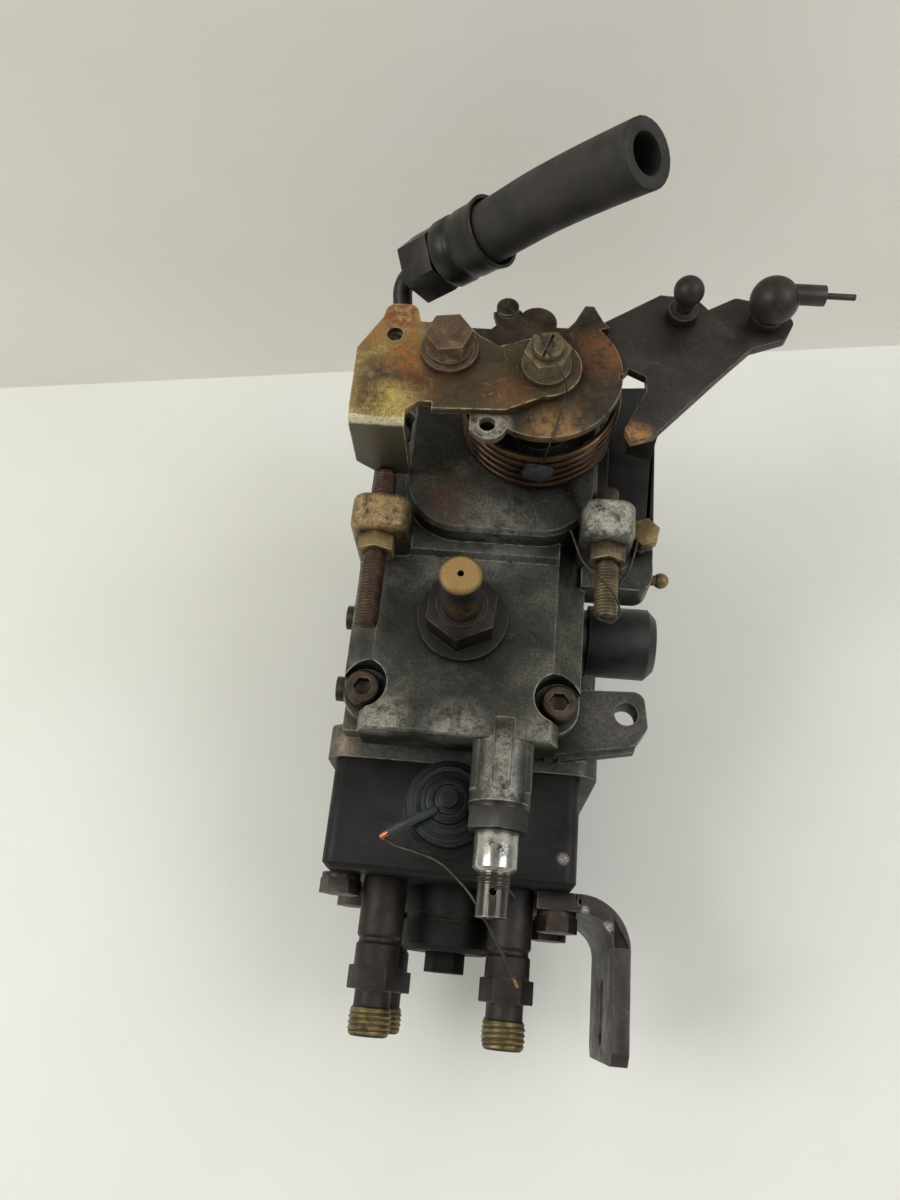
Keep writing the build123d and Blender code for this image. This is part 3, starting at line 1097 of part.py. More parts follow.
def full_load_screw():
    """Full-load screw with its tamper-proof collar and cross-drilled end."""
    rear = HEAD_Y - 44.3
    screw = rod_y(FULL_LOAD_SCREW_R, rear, FULL_LOAD_TIP_Y, FULL_LOAD_X, FULL_LOAD_Z)
    collar = rod_y(FULL_LOAD_COLLAR_R, HEAD_Y - 32.7, HEAD_Y - 22, FULL_LOAD_X, FULL_LOAD_Z)
    screw += chamfer(collar.edges().filter_by(GeomType.CIRCLE).sort_by(Axis.Y)[0], 1)
    return screw - rod_z(1, FULL_LOAD_Z, FULL_LOAD_Z + 6, FULL_LOAD_X, HEAD_Y - 38)


def full_load_nut():
    """Lock nut and washer of the full-load screw."""
    front = HEAD_Y - FULL_LOAD_BOSS_LENGTH + 3.3
    nut = rod_y(8.6, front - 1.5, front, FULL_LOAD_X, FULL_LOAD_Z)
    nut += hexagon_y(16, HEAD_Y - 21.8, front - 1.5, FULL_LOAD_X, FULL_LOAD_Z, 30)
    return nut - rod_y(FULL_LOAD_SCREW_R, HEAD_Y - 22, front, FULL_LOAD_X, FULL_LOAD_Z)


def return_fitting():
    """Fuel return fitting: washer, hexagon, pipe and tapered end with a throttle hole."""
    base = COVER_TOP + 2
    body = rod_z(13.2, COVER_TOP, base, RETURN_X, RETURN_Y)
    body += hexagon(RETURN_HEX_AF, base, base + 9, RETURN_X, RETURN_Y, 26)
    body += rod_z(7.2, base + 9, base + 10, RETURN_X, RETURN_Y)
    pipe = rod_z(RETURN_TUBE_R, base + 9, RETURN_TIP_Z, RETURN_X, RETURN_Y)
    body += chamfer(pipe.faces().sort_by(Axis.Z)[-1].edges(), 1.2)
    body += rod_z(RETURN_TUBE_R - 1 - FIT, COVER_ROOF, base, RETURN_X, RETURN_Y)
    return body - rod_z(0.9, RETURN_TIP_Z - 12, RETURN_TIP_Z, RETURN_X, RETURN_Y)


def side_cap():
    """Long closing cap of the side port, chamfered at its end."""
    face = CHAMBER_OUT + 3
    cap = rod_x(SIDE_BOSS_R, face, SIDE_CAP_END, SIDE_BOSS_Y, SIDE_BOSS_Z)
    cap = chamfer(cap.faces().sort_by(Axis.X)[-1].edges(), 2.6)
    cap += rod_x(SIDE_BOSS_R - 4.5 - FIT, face - 8, face, SIDE_BOSS_Y, SIDE_BOSS_Z)
    return cap - rod_x(5, SIDE_CAP_END - 5, SIDE_CAP_END, SIDE_BOSS_Y, SIDE_BOSS_Z)


def side_plate():
    """Flat steel bracket on the right, under the throttle lever."""
    z0 = COVER_FLANGE_TOP + 6
    shape = plate([(39.5, -50), (47, -52.5), (47, -59), (50, -61), (53.8, -59), (54.4, -3),
                   (52, -0.8), (43, -1.6), (39.5, -4)], z0, z0 + 3)
    return shape - rod_z(2.6, z0, z0 + 3, SIDE_BOLT_X, SIDE_BOLT_Y)


def side_bolt():
    """Hexagon screw of the side bracket, with a ball-ended pin beside it."""
    z0 = COVER_FLANGE_TOP + 9
    bolt = hexagon(8, z0, z0 + 3.6, SIDE_BOLT_X, SIDE_BOLT_Y, 20)
    bolt += rod_z(2.5, COVER_FLANGE_TOP - 3, z0, SIDE_BOLT_X, SIDE_BOLT_Y)
    pin = rod_x(1.6, 54.3, 56.2, -66.5, COVER_FLANGE_TOP + 2)
    pin += Pos(57.4, -66.5, COVER_FLANGE_TOP + 2) * Sphere(2.4)
    return Compound(children=[bolt, pin])


def rear_bracket():
    """Bent bar behind the head: foot under the right head bolts, leg with a long slot."""
    foot = block(26.7, BRACKET_OUT_X - BRACKET_BEND_R, HEAD_REAR_Y - BRACKET_THICK,
                 HEAD_REAR_Y, BRACKET_BOTTOM, BRACKET_TOP)
    centre_x = BRACKET_OUT_X - BRACKET_BEND_R
    centre_y = HEAD_REAR_Y - BRACKET_BEND_R
    bend = rod_z(BRACKET_BEND_R, BRACKET_BOTTOM, BRACKET_TOP, centre_x, centre_y)
    bend -= rod_z(BRACKET_BEND_R - BRACKET_THICK, BRACKET_BOTTOM, BRACKET_TOP, centre_x, centre_y)
    bend = bend & block(centre_x, BRACKET_OUT_X, centre_y, HEAD_REAR_Y, BRACKET_BOTTOM,
                        BRACKET_TOP)
    leg = block(BRACKET_OUT_X - BRACKET_THICK, BRACKET_OUT_X, BRACKET_END_Y, centre_y,
                BRACKET_BOTTOM, BRACKET_TOP)
    leg = chamfer(leg.edges().filter_by(Axis.X).sort_by(Axis.Y)[:2], 3)
    slot = rod_x(BRACKET_SLOT_R, BRACKET_OUT_X - BRACKET_THICK, BRACKET_OUT_X, BRACKET_END_Y + 9, 0)
    slot += rod_x(BRACKET_SLOT_R, BRACKET_OUT_X - BRACKET_THICK, BRACKET_OUT_X,
                  BRACKET_END_Y + 19, 0)
    slot += block(BRACKET_OUT_X - BRACKET_THICK, BRACKET_OUT_X, BRACKET_END_Y + 9,
                  BRACKET_END_Y + 19, -BRACKET_SLOT_R, BRACKET_SLOT_R)
    for z in (-HEAD_BOLT_Z, HEAD_BOLT_Z):
        foot -= rod_y(HEAD_BOLT_R + 2 * FIT, HEAD_REAR_Y - BRACKET_THICK, HEAD_REAR_Y, HEAD_BOLT_X, z)
    return foot + bend + leg - slot


# ---------------------------------------------------------------- fuel inlet

def hose_direction():
    """Unit vector along the hose where it leaves its union."""
    return (Vector(*HOSE_ROUTE[1]) - Vector(*HOSE_ROUTE[0])).normalized()


def inlet_pipe():
    """Inlet screw, bent steel pipe and barbed union for the hose, brazed together."""
    start = Vector(*HOSE_ROUTE[0])
    way = hose_direction()
    end = start - way * 13
    shape = hexagon(13, INLET_SEAT_Z, INLET_SEAT_Z + 9, INLET_X, INLET_Y, 12)
    shape += rod_z(INLET_R - FIT, INLET_SEAT_Z - 9, INLET_SEAT_Z, INLET_X, INLET_Y)
    low = Vector(INLET_X, INLET_Y, INLET_SEAT_Z + 8)
    mid = Vector(INLET_X, INLET_Y + 1.5, INLET_SEAT_Z + 20)
    path = FilletPolyline(low, mid, end - way * 9, end, radius=[12, 6])
    shape += sweep(Plane(origin=path @ 0, z_dir=path % 0) * Circle(3.2), path=path)
    place = Plane(origin=end, z_dir=way)
    shape += extrude(place * RegularPolygon(UNION_AF / 2, 6, major_radius=False), 12)
    shape += extrude(Plane(origin=start - way, z_dir=way) * Circle(8.2), 1)
    shape += extrude(Plane(origin=start, z_dir=way) * Circle(HOSE_BORE_R - FIT), 9)
    return shape - extrude(Plane(origin=start - way * 4, z_dir=way) * Circle(2.5), 13)


def hose_ferrule():
    """Crimped steel ferrule with a flared mouth."""
    start = Vector(*HOSE_ROUTE[0])
    way = hose_direction()
    place = Plane(origin=start, z_dir=way)
    profile = [(HOSE_R + GAP, 0), (FERRULE_R, 0), (FERRULE_R, 5), (FERRULE_R - 0.6, 6),
               (FERRULE_R - 0.6, 8), (FERRULE_R, 9), (FERRULE_R, 14), (FERRULE_R + 0.8, 18),
               (HOSE_R + GAP + 0.8, 18), (HOSE_R + GAP, 14)]
    ring = revolve(Plane.XZ * make_face(Polyline(*profile, close=True)), Axis.Z)
    return place.location * ring


def corner_radii(route):
    """As large an arc at each corner as its two runs allow."""
    radii = []
    for a, b, c in zip(route, route[1:], route[2:]):
        first = Vector(*b) - Vector(*a)
        second = Vector(*c) - Vector(*b)
        turn = first.get_angle(second)
        run = min(first.length, second.length)
        radii.append(0.45 * run / math.tan(math.radians(turn / 2)))
    return radii


def fuel_hose():
    """Rubber fuel hose, cut off square at its free end."""
    radii = corner_radii(HOSE_ROUTE)
    path = FilletPolyline(*HOSE_ROUTE, radius=radii)
    section = Circle(HOSE_R) - Circle(HOSE_BORE_R)
    hose = sweep(Plane(origin=path @ 0, z_dir=path % 0) * section, path=path)
    area = math.pi * (HOSE_R ** 2 - HOSE_BORE_R ** 2)
    print("hose radii", [round(r, 1) for r in radii], "length", round(path.length, 1),
          "volume ratio", round(hose.volume / (area * path.length), 4))
    return hose


NODES = [
    pump_housing, cover_gasket, governor_cover, cover_screws,
    hydraulic_head, pump_barrel, head_bolts, centre_plug, bleed_screw,
    delivery_valve_holders, delivery_valves, fuel_cut_solenoid, solenoid_plunger,
    drive_shaft, shaft_bush, shaft_seal,
    feed_pump_liner, feed_pump_rotor, feed_pump_vanes, feed_pump_cover, governor_drive_gear,
    roller_ring, rollers, cam_disc, plunger, control_sleeve, plunger_springs,
    governor_shaft, flyweight_cage, flyweights, governor_sleeve, governor_lever, lever_pivot,
    governor_spring,
    timer_piston, timer_spring, timer_covers, timer_cover_screws, pressure_valve,
    lever_shaft, throttle_lever, spring_plate, stop_bracket, lever_fasteners, return_spring,
    ball_studs, cable_socket, idle_screw, speed_screw, lock_nuts,
    full_load_screw, full_load_nut, return_fitting, side_cap, side_plate, side_bolt,
    rear_bracket, inlet_pipe, hose_ferrule, fuel_hose,
]

os.makedirs("parts", exist_ok=True)
for make in NODES:
    export_step(make(), f"parts/{make.__name__}.step")
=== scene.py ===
"""Dressed scene of a rotary distributor diesel injection pump, in metres, in the row frame."""
import math

import bpy
from mathutils import Matrix, Vector


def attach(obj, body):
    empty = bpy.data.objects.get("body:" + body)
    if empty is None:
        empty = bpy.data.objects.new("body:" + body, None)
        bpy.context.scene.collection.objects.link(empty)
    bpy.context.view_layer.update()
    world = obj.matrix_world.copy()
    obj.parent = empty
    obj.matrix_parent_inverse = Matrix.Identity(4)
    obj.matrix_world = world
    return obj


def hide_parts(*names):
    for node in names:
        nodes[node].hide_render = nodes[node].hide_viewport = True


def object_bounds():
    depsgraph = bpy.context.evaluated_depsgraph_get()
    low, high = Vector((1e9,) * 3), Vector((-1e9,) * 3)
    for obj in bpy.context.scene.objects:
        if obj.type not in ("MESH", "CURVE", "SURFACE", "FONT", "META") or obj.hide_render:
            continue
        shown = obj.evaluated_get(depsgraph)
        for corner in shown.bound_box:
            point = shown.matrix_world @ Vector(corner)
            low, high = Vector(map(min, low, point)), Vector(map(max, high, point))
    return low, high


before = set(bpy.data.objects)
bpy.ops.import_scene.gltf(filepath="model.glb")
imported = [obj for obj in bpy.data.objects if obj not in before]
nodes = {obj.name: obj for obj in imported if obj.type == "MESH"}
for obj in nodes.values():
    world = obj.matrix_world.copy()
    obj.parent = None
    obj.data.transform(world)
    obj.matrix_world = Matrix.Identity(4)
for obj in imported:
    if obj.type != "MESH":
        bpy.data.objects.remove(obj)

cad_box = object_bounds()


# ---------------------------------------------------------------- camera
# Held above the outlet fittings and looking steeply down along the cover. The rows of its
# matrix give, along X, Y and Z, the way to its right, its top and its back, and its place.

LENS_MM, SENSOR_MM, NEAREST = 27.93, 36, 0.01
lens = bpy.data.cameras.new("camera")
lens.lens = LENS_MM
lens.sensor_width = SENSOR_MM
lens.clip_start = NEAREST
camera = bpy.data.objects.new("camera", lens)
camera.matrix_world = Matrix((
    (0.99527, -0.07399, 0.06295, 0.011877),
    (0.09289, 0.91448, -0.39383, -0.189287),
    (-0.02843, 0.39782, 0.91702, 0.316332),
    (0, 0, 0, 1),
))
bpy.context.scene.collection.objects.link(camera)
bpy.context.scene.camera = camera


# ---------------------------------------------------------------- fuel hose
# Short cut-off length of black fuel hose, pushed over the barbed ferrule, with its open end
# up. It is a stub and not a free cord: 78 mm long and 18 mm thick, extruded from rubber.

MM = 0.001


def colour(code):
    """Linear RGBA of an sRGB hex code. A number stands for a linear grey."""
    if not isinstance(code, str):
        return (code, code, code, 1)
    parts = [int(code[i:i + 2], 16) / 255 for i in (1, 3, 5)]
    return tuple(c / 12.92 if c < 0.04045 else ((c + 0.055) / 1.055) ** 2.4 for c in parts) + (1,)


class Finish:
    """One material, built up in coats over a ground colour and a ground gloss."""

    # Where a Mix node takes its share and its two colours, and where it gives the result
    SHARE, UNDER, OVER, MIXED = 0, 6, 7, 2

    def __init__(self, name):
        self.material = bpy.data.materials.new(name)
        self.material.use_nodes = True
        self.tree = self.material.node_tree
        self.shader = self.tree.nodes["Principled BSDF"]
        self.place = self.node("TexCoord", out="Object")
        self.base = self.gloss = None

    def node(self, kind, inputs=None, out=0, stops=(), **settings):
        """Add a node with its settings and give back one output.

        An input takes a link, a value or a hex colour. A stop is a place and a colour.
        """
        made = self.tree.nodes.new("ShaderNode" + kind)
        for key, value in settings.items():
            setattr(made, key, value)
        for key, value in (inputs or {}).items():
            socket = made.inputs[key]
            if isinstance(value, bpy.types.NodeSocket):
                self.tree.links.new(value, socket)
            else:
                socket.default_value = colour(value) if socket.type == "RGBA" else value
        if stops:
            points = made.color_ramp.elements
            while len(points) < len(stops):
                points.new(0.5)
            for point, (at, tone) in zip(points, stops):
                point.position = at
                point.color = colour(tone)
        return made.outputs[out]

    def blotches(self, size, *stops, detail=4, rough=0.6, warp=0.0, drawn=None, turn=0):
        """Irregular patches about size metres across, shaded through the stops.

        They are drawn out that many times along Y, turned by so many degrees about Z.
        """
        place = self.place
        if drawn:
            place = self.node("Mapping", {"Vector": place, "Scale": (1, drawn, 1),
                                          "Rotation": (0, 0, math.radians(turn))},
                              vector_type="TEXTURE")
        cloud = self.node("TexNoise", {"Vector": place, "Scale": 1 / size, "Detail": detail,
                                       "Roughness": rough, "Distortion": warp}, out="Fac")
        return self.node("ValToRGB", {"Fac": cloud}, stops=stops) if stops else cloud

    def worn_edges(self, width, amount):
        """Light along rubbed edges, where a rounded normal leaves the true one."""
        rounded = self.node("Bevel", {"Radius": width}, samples=4)
        facing = self.node("VectorMath", {0: rounded, 1: self.node("NewGeometry", out="Normal")},
                           out="Value", operation="DOT_PRODUCT")
        edge = self.node("ValToRGB", {"Fac": facing}, stops=((0.80, 1.0), (0.985, 0.0)))
        broken = self.blotches(3 * MM, (0.36, 0.0), (0.56, amount))
        return self.node("Math", {0: edge, 1: broken}, operation="MULTIPLY", use_clamp=True)

    def hollow_shade_and_oil(self, reach, amount):
        """High in corners and under overhangs: painted shade found by ambient occlusion, streaked
        like the oil and dirt that stay there.
        """
        open_sky = self.node("AmbientOcclusion", {"Distance": reach}, out="AO", samples=6)
        hollow = self.node("ValToRGB", {"Fac": open_sky}, stops=((0.25, 1.0), (0.85, 0.0)))
        streaky = self.blotches(5 * MM, (0.3, amount * 0.5), (0.6, amount), detail=5)
        return self.node("Math", {0: hollow, 1: streaky}, operation="MULTIPLY", use_clamp=True)

    def coat(self, share, tone, gloss=None, blend="MIX"):
        """Lay a tone, and a gloss where one is given, over what is there, by a share."""
        self.base = self.node("Mix", {self.SHARE: share, self.UNDER: self.base, self.OVER: tone},
                              out=self.MIXED, data_type="RGBA", blend_type=blend)
        if gloss is not None:
            self.gloss = self.node("Mix", {self.SHARE: share, self.UNDER: self.gloss,
                                           self.OVER: gloss}, out=self.MIXED, data_type="RGBA")

    def done(self, relief, depth):
        """Link the colour, the gloss and a relief of depth metres, and give the material."""
        raised = self.node("Bump", {"Height": relief, "Strength": 1.0, "Distance": depth})
        for socket, source in (("Base Color", self.base), ("Roughness", self.gloss),
                               ("Normal", raised)):
            self.tree.links.new(source, self.shader.inputs[socket])
        return self.material


def old_rubber(name, dark, light):
    """Extruded black rubber gone hard: brown-black and matt, with a chalky bloom in patches
    of 9 mm, scuffs of 2.5 mm along its length and a skin of 0.8 mm grain."""
    skin = Finish(name)
    skin.base = skin.blotches(9 * MM, (0.35, dark), (0.75, light), detail=5, warp=0.6)
    scuffs = skin.blotches(2.5 * MM, (0.62, 0.0), (0.72, 0.6), detail=8, rough=0.8, drawn=3,
                           turn=-70)
    skin.coat(scuffs, "#47413b")
    skin.gloss = skin.blotches(6 * MM, (0.3, 0.5), (0.7, 0.75))
    return skin.done(skin.blotches(0.8 * MM, rough=0.7), 0.04 * MM)


def add(obj, body, material):
    """Link a new piece, give it its material and let it ride on a body."""
    bpy.context.scene.collection.objects.link(obj)
    obj.data.materials.append(material)
    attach(obj, body)
    return obj


def from_points(name, points, faces, body, material):
    """Smooth-shaded mesh piece from points in metres and faces."""
    mesh = bpy.data.meshes.new(name)
    mesh.from_pydata(points, [], faces)
    for face in mesh.polygons:
        face.use_smooth = True
    return add(bpy.data.objects.new(name, mesh), body, material)


def ring_faces(rows, around):
    """Quads between rings that follow each other, each ring with around points."""
    faces = []
    for i in range(rows - 1):
        for j in range(around):
            low, high, k = i * around, (i + 1) * around, (j + 1) % around
            faces.append((low + j, low + k, high + k, high + j))
    return faces


def wire(name, route, radius, material, body, straight=False):
    """Round wire or hose along a line through control points, all in millimetres.

    A wire is drawn with fewer points than the hose and has closed ends.
    """
    thin = radius < 3
    curve = bpy.data.curves.new(name, "CURVE")
    curve.dimensions = "3D"
    curve.bevel_depth = radius * MM
    curve.bevel_resolution = 3 if thin else 10
    curve.resolution_u = 8 if thin else 24
    curve.use_fill_caps = thin
    line = curve.splines.new("POLY" if straight else "NURBS")
    line.points.add(len(route) - 1)
    for point, place in zip(line.points, route):
        point.co = (*[v * MM for v in place], 1)
    line.order_u = 3
    line.use_endpoint_u = True
    return add(bpy.data.objects.new(name, curve), body, material)


HOSE_ROUTE = [(-14.5, 25.4, 91.2), (-1.5, 24.2, 102.4), (17.7, 17.6, 125.2), (38.1, 9.0, 146.0)]
HOSE_R = 9.0
HOSE_BORE_R = 5.25
hose_rubber = old_rubber("hose_rubber", "#1a1714", "#2f2a26")
hose = wire("hose", HOSE_ROUTE, HOSE_R, hose_rubber, "pump")
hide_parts("fuel_hose")
wire("hose_bore", HOSE_ROUTE, HOSE_BORE_R, hose_rubber, "pump")

# The cut end has a ring of its own between the outer skin and the bore, with rounded lips.
# Each step of the ring is its radius and its height over the cut.
HOSE_LIP = ((9.0, -0.6), (8.8, 0.0), (8.4, 0.15), (5.8, 0.1), (5.3, -0.1), (5.2, -0.8))
LIP_POINTS = 48
hose_tip = Vector(HOSE_ROUTE[-1]) * MM
hose_way = (hose_tip - Vector(HOSE_ROUTE[-2]) * MM).to_track_quat("Z", "Y").to_matrix()
lip_points = [hose_tip + hose_way @ Vector((r * math.cos(a), r * math.sin(a), z)) * MM
              for r, z in HOSE_LIP
              for a in [2 * math.pi * j / LIP_POINTS for j in range(LIP_POINTS)]]
from_points("hose_end", lip_points, ring_faces(len(HOSE_LIP), LIP_POINTS), "pump", hose_rubber)


# ---------------------------------------------------------------- bench, wall and light
# White-painted bench board with a few scratches and specks of dirt, and a painted wall
# behind the drive end. One broad lamp stands high on the left and a weaker one on the right.

def bench_paint(name, tone, shade):
    """Brushed matt paint on board: nearly white, cloudy over 90 mm, so that it shows a soft
    shadow and no glare, with faint scratches some 30 mm long and specks of dirt of 2 mm."""
    paint = Finish(name)
    paint.base = paint.blotches(90 * MM, (0.35, tone), (0.75, shade), rough=0.5)
    paint.coat(paint.blotches(30 * MM, (0.7, 0.0), (0.74, 0.35), detail=6, rough=0.7, warp=1.2,
                              drawn=4), "#b9b7ae")
    paint.coat(paint.blotches(2 * MM, (0.79, 0.0), (0.83, 0.5), detail=2, rough=0.5), "#8d8b82")
    paint.tree.links.new(paint.base, paint.shader.inputs["Base Color"])
    paint.shader.inputs["Roughness"].default_value = 0.55
    return paint


def board(name, corners, material):
    """Flat stage sheet through four corners in metres."""
    mesh = bpy.data.meshes.new(name)
    mesh.from_pydata(corners, [], [(0, 1, 2, 3)])
    mesh.materials.append(material)
    sheet = bpy.data.objects.new(name, mesh)
    bpy.context.scene.collection.objects.link(sheet)


FLOOR_Z = cad_box[0][2] - 0.0002
FLOOR_REACH = 3
board("floor", [(x * FLOOR_REACH, y * FLOOR_REACH, FLOOR_Z)
                for x, y in ((-1, -1), (1, -1), (1, 1), (-1, 1))],
      bench_paint("bench_paint", "#edede7", "#e7e7e0").material)

# The wall stands a little askew. Its back is clear, so the pump can be seen from behind it.
WALL_LEFT, WALL_RIGHT = Vector((-0.2506, 0.0715, FLOOR_Z)), Vector((0.196, 0.1297, FLOOR_Z))
WALL_REACH, WALL_HEIGHT = 1.5, Vector((0, 0, 1.2))
wall_way = (WALL_RIGHT - WALL_LEFT).normalized() * WALL_REACH
wall = bench_paint("wall_paint", "#f8f5ee", "#f2efe7")
seen_side = wall.node("MixShader", {0: wall.node("NewGeometry", out="Backfacing"),
                                    1: wall.shader.outputs[0],
                                    2: wall.node("BsdfTransparent")})
wall.tree.links.new(seen_side, wall.tree.nodes["Material Output"].inputs["Surface"])
board("wall", [WALL_LEFT - wall_way, WALL_RIGHT + wall_way, WALL_RIGHT + wall_way + WALL_HEIGHT,
               WALL_LEFT - wall_way + WALL_HEIGHT], wall.material)

PUMP_CENTRE = Vector((0, -0.08, 0))
LAMP_WIDTH = 0.9
SKY_STRENGTH = 0.55
for name, place, power, tint in (("key", (-1.05, -0.22, 1.15), 13.5, "#fffefa"),
                                 ("fill", (1.0, -0.15, 1.2), 8.5, "#fbfcff")):
    lamp = bpy.data.lights.new(name, "AREA")
    lamp.size = LAMP_WIDTH
    lamp.energy = power
    lamp.color = colour(tint)[:3]
    stand = bpy.data.objects.new(name, lamp)
    stand.location = place
    stand.rotation_euler = (PUMP_CENTRE - Vector(place)).to_track_quat("-Z", "Y").to_euler()
    bpy.context.scene.collection.objects.link(stand)
world = bpy.data.worlds.new("world")
world.use_nodes = True
world.node_tree.nodes["Background"].inputs["Color"].default_value = colour("#dcdcd8")
world.node_tree.nodes["Background"].inputs["Strength"].default_value = SKY_STRENGTH
bpy.context.scene.world = world
bpy.context.scene.view_settings.view_transform = "Standard"


# ---------------------------------------------------------------- housing and timer covers
# Sand-cast aluminium body that carries every other piece, and the two square covers that close
# the bore of its timing piston. Engine bolts go through its ears.

def used_metal(name, *tones, metallic=0.4, rough=(0.35, 0.6), blotch=12, grain=0.7, depth=0.05,
               wear=None, wear_share=0.8, wear_width=0.5, rust=None, rust_from=0.62, pits=0.0,
               scuffs=None, grime_and_shade="#0d0b09", dirt=0.8, fades=(), spots=()):
    """Metal that has seen years of use. Sizes are in millimetres, shares run from 0 to 1.

    Blotches and grain come first, then fades (axis, from, to, tone) to other tones along the
    part, spots (x, y, z, radius, tone), pits, scuffs, rubbed edges, rust, and on top dirt and
    painted shade in hollows.
    Casting sand and rolling scale are finer than 0.3 mm and wouldn't show, so the grain is
    drawn at 0.4 to 1 mm, and the scuffs are 0.7 mm wide and nine times as long.
    """
    grain_share, rubbed_gloss, rust_gloss, oil_gloss = 0.45, 0.32, 0.85, 0.42
    skin = Finish(name)
    skin.base = skin.blotches(blotch * MM, *tones, detail=6, rough=0.62, warp=0.5)
    fine = skin.blotches(grain * MM, detail=3, rough=0.7)
    skin.coat(grain_share, skin.node("ValToRGB", {0: fine}, stops=((0.3, 0.2), (0.7, 0.95))),
              blend="OVERLAY")
    skin.gloss = skin.blotches(blotch * 0.5 * MM, (0.3, rough[0]), (0.7, rough[1]))
    for axis, start, end, tone in fades:
        along = skin.node("MapRange", {"Value": skin.node("SeparateXYZ", {0: skin.place}, axis),
                                       "From Min": start * MM, "From Max": end * MM})
        ragged = skin.blotches(4 * MM, (0.3, 0.0), (0.8, 0.3), detail=5)
        edge = skin.node("Math", {0: along, 1: ragged}, operation="ADD")
        share = skin.node("ValToRGB", {0: edge}, stops=((0.3, 0.0), (0.9, 1.0)))
        stained = skin.node("Mix", {skin.SHARE: 0.5, skin.UNDER: skin.base, skin.OVER: tone},
                            out=skin.MIXED, data_type="RGBA", blend_type="MULTIPLY")
        skin.coat(share, stained)
        grainy = skin.node("ValToRGB", {0: fine}, stops=((0.2, 0.55), (0.8, 0.95)))
        skin.coat(skin.node("Math", {0: share, 1: grainy}, operation="MULTIPLY",
                            use_clamp=True), tone)
    for x, y, z, radius, tone in spots:
        gap = skin.node("VectorMath", {0: skin.place, 1: (x * MM, y * MM, z * MM)}, out="Value",
                        operation="DISTANCE")
        near = skin.node("MapRange", {"Value": gap, "From Min": radius * 1.3 * MM,
                                      "From Max": radius * 0.4 * MM})
        patchy = skin.blotches(radius * 0.35 * MM, (0.36, 0.0), (0.56, 1.0), detail=7, rough=0.7)
        skin.coat(skin.node("Math", {0: near, 1: patchy}, operation="MULTIPLY", use_clamp=True),
                  tone)
    if pits:
        skin.coat(skin.blotches(grain * MM, (0.36, pits), (0.54, 0.0), detail=5, rough=0.72,
                                warp=0.4), grime_and_shade)
    if scuffs:
        for turn in (-62, 18, 71):
            skin.coat(skin.blotches(0.7 * MM, (0.64, 0.0), (0.74, scuffs[1]), rough=0.65,
                                    warp=0.5, drawn=9, turn=turn), scuffs[0])
    if wear:
        skin.coat(skin.worn_edges(wear_width * MM, wear_share), wear, rubbed_gloss)
    if rust:
        flaky = skin.node("ValToRGB", {0: fine}, stops=((0.35, rust[0]), (0.65, rust[1])))
        skin.coat(skin.blotches(blotch * 0.7 * MM, (rust_from, 0.0), (rust_from + 0.08, 1.0),
                                detail=8, rough=0.7, warp=0.8), flaky, rust_gloss)
    # Painted shade and oily dirt: corners and hollows found by ambient occlusion take the
    # grime_and_shade tone, by the share dirt
    skin.coat(skin.hollow_shade_and_oil(7 * MM, dirt), grime_and_shade, oil_gloss)
    skin.shader.inputs["Metallic"].default_value = metallic
    relief = skin.node("Mix", {skin.SHARE: 0.4, skin.UNDER: skin.blotches(grain * MM, rough=0.75),
                               skin.OVER: skin.blotches(grain * 4 * MM, detail=3)},
                       out=skin.MIXED, data_type="RGBA")
    return skin.done(relief, depth * MM)


WELD_GAP = 2e-6
ROUNDED_ABOVE, SPLIT_ABOVE = math.radians(32), math.radians(38)


def dress(material, *names, rounding=0.0):
    """Material, smooth shading and edges rounded by so many millimetres for CAD nodes."""
    for name in names:
        part = nodes[name]
        part.data.materials.clear()
        part.data.materials.append(material)
        for face in part.data.polygons:
            face.use_smooth = True
            face.material_index = 0
        if "custom_normal" in part.data.attributes:
            part.data.attributes.remove(part.data.attributes["custom_normal"])
        weld = part.modifiers.new("weld", "WELD")
        weld.merge_threshold = WELD_GAP
        if rounding:
            rounded = part.modifiers.new("rounding", "BEVEL")
            rounded.width = rounding * MM
            rounded.segments = 2
            rounded.limit_method = "ANGLE"
            rounded.angle_limit = ROUNDED_ABOVE
        split = part.modifiers.new("split", "EDGE_SPLIT")
        split.split_angle = SPLIT_ABOVE


# Sand-cast aluminium: dull sandy grey in clouds of 26 mm, pitted, with rubbed pale edges and
# a brown stain on the ear below the cover's bolt.
EAR_STAIN = ((-37, -121, 42, 7, "#94846b"),)
body_casting = used_metal(
    "body_casting", (0.3, "#201f1b"), (0.5, "#3b3934"), (0.75, "#636057"), metallic=0.3,
    rough=(0.4, 0.65), blotch=26, grain=1.0, depth=0.16, pits=0.5, wear="#a29f92",
    wear_width=0.8, dirt=1.0, rust=("#5e4630", "#8b6d49"), rust_from=0.72, spots=EAR_STAIN)
dress(body_casting, "pump_housing", "timer_covers", rounding=0.6)


# ---------------------------------------------------------------- running parts inside
# Hardened and ground steel parts of the feed pump, the cam drive, the timer, the governor and
# the plunger. They run in fuel, which keeps them clean.

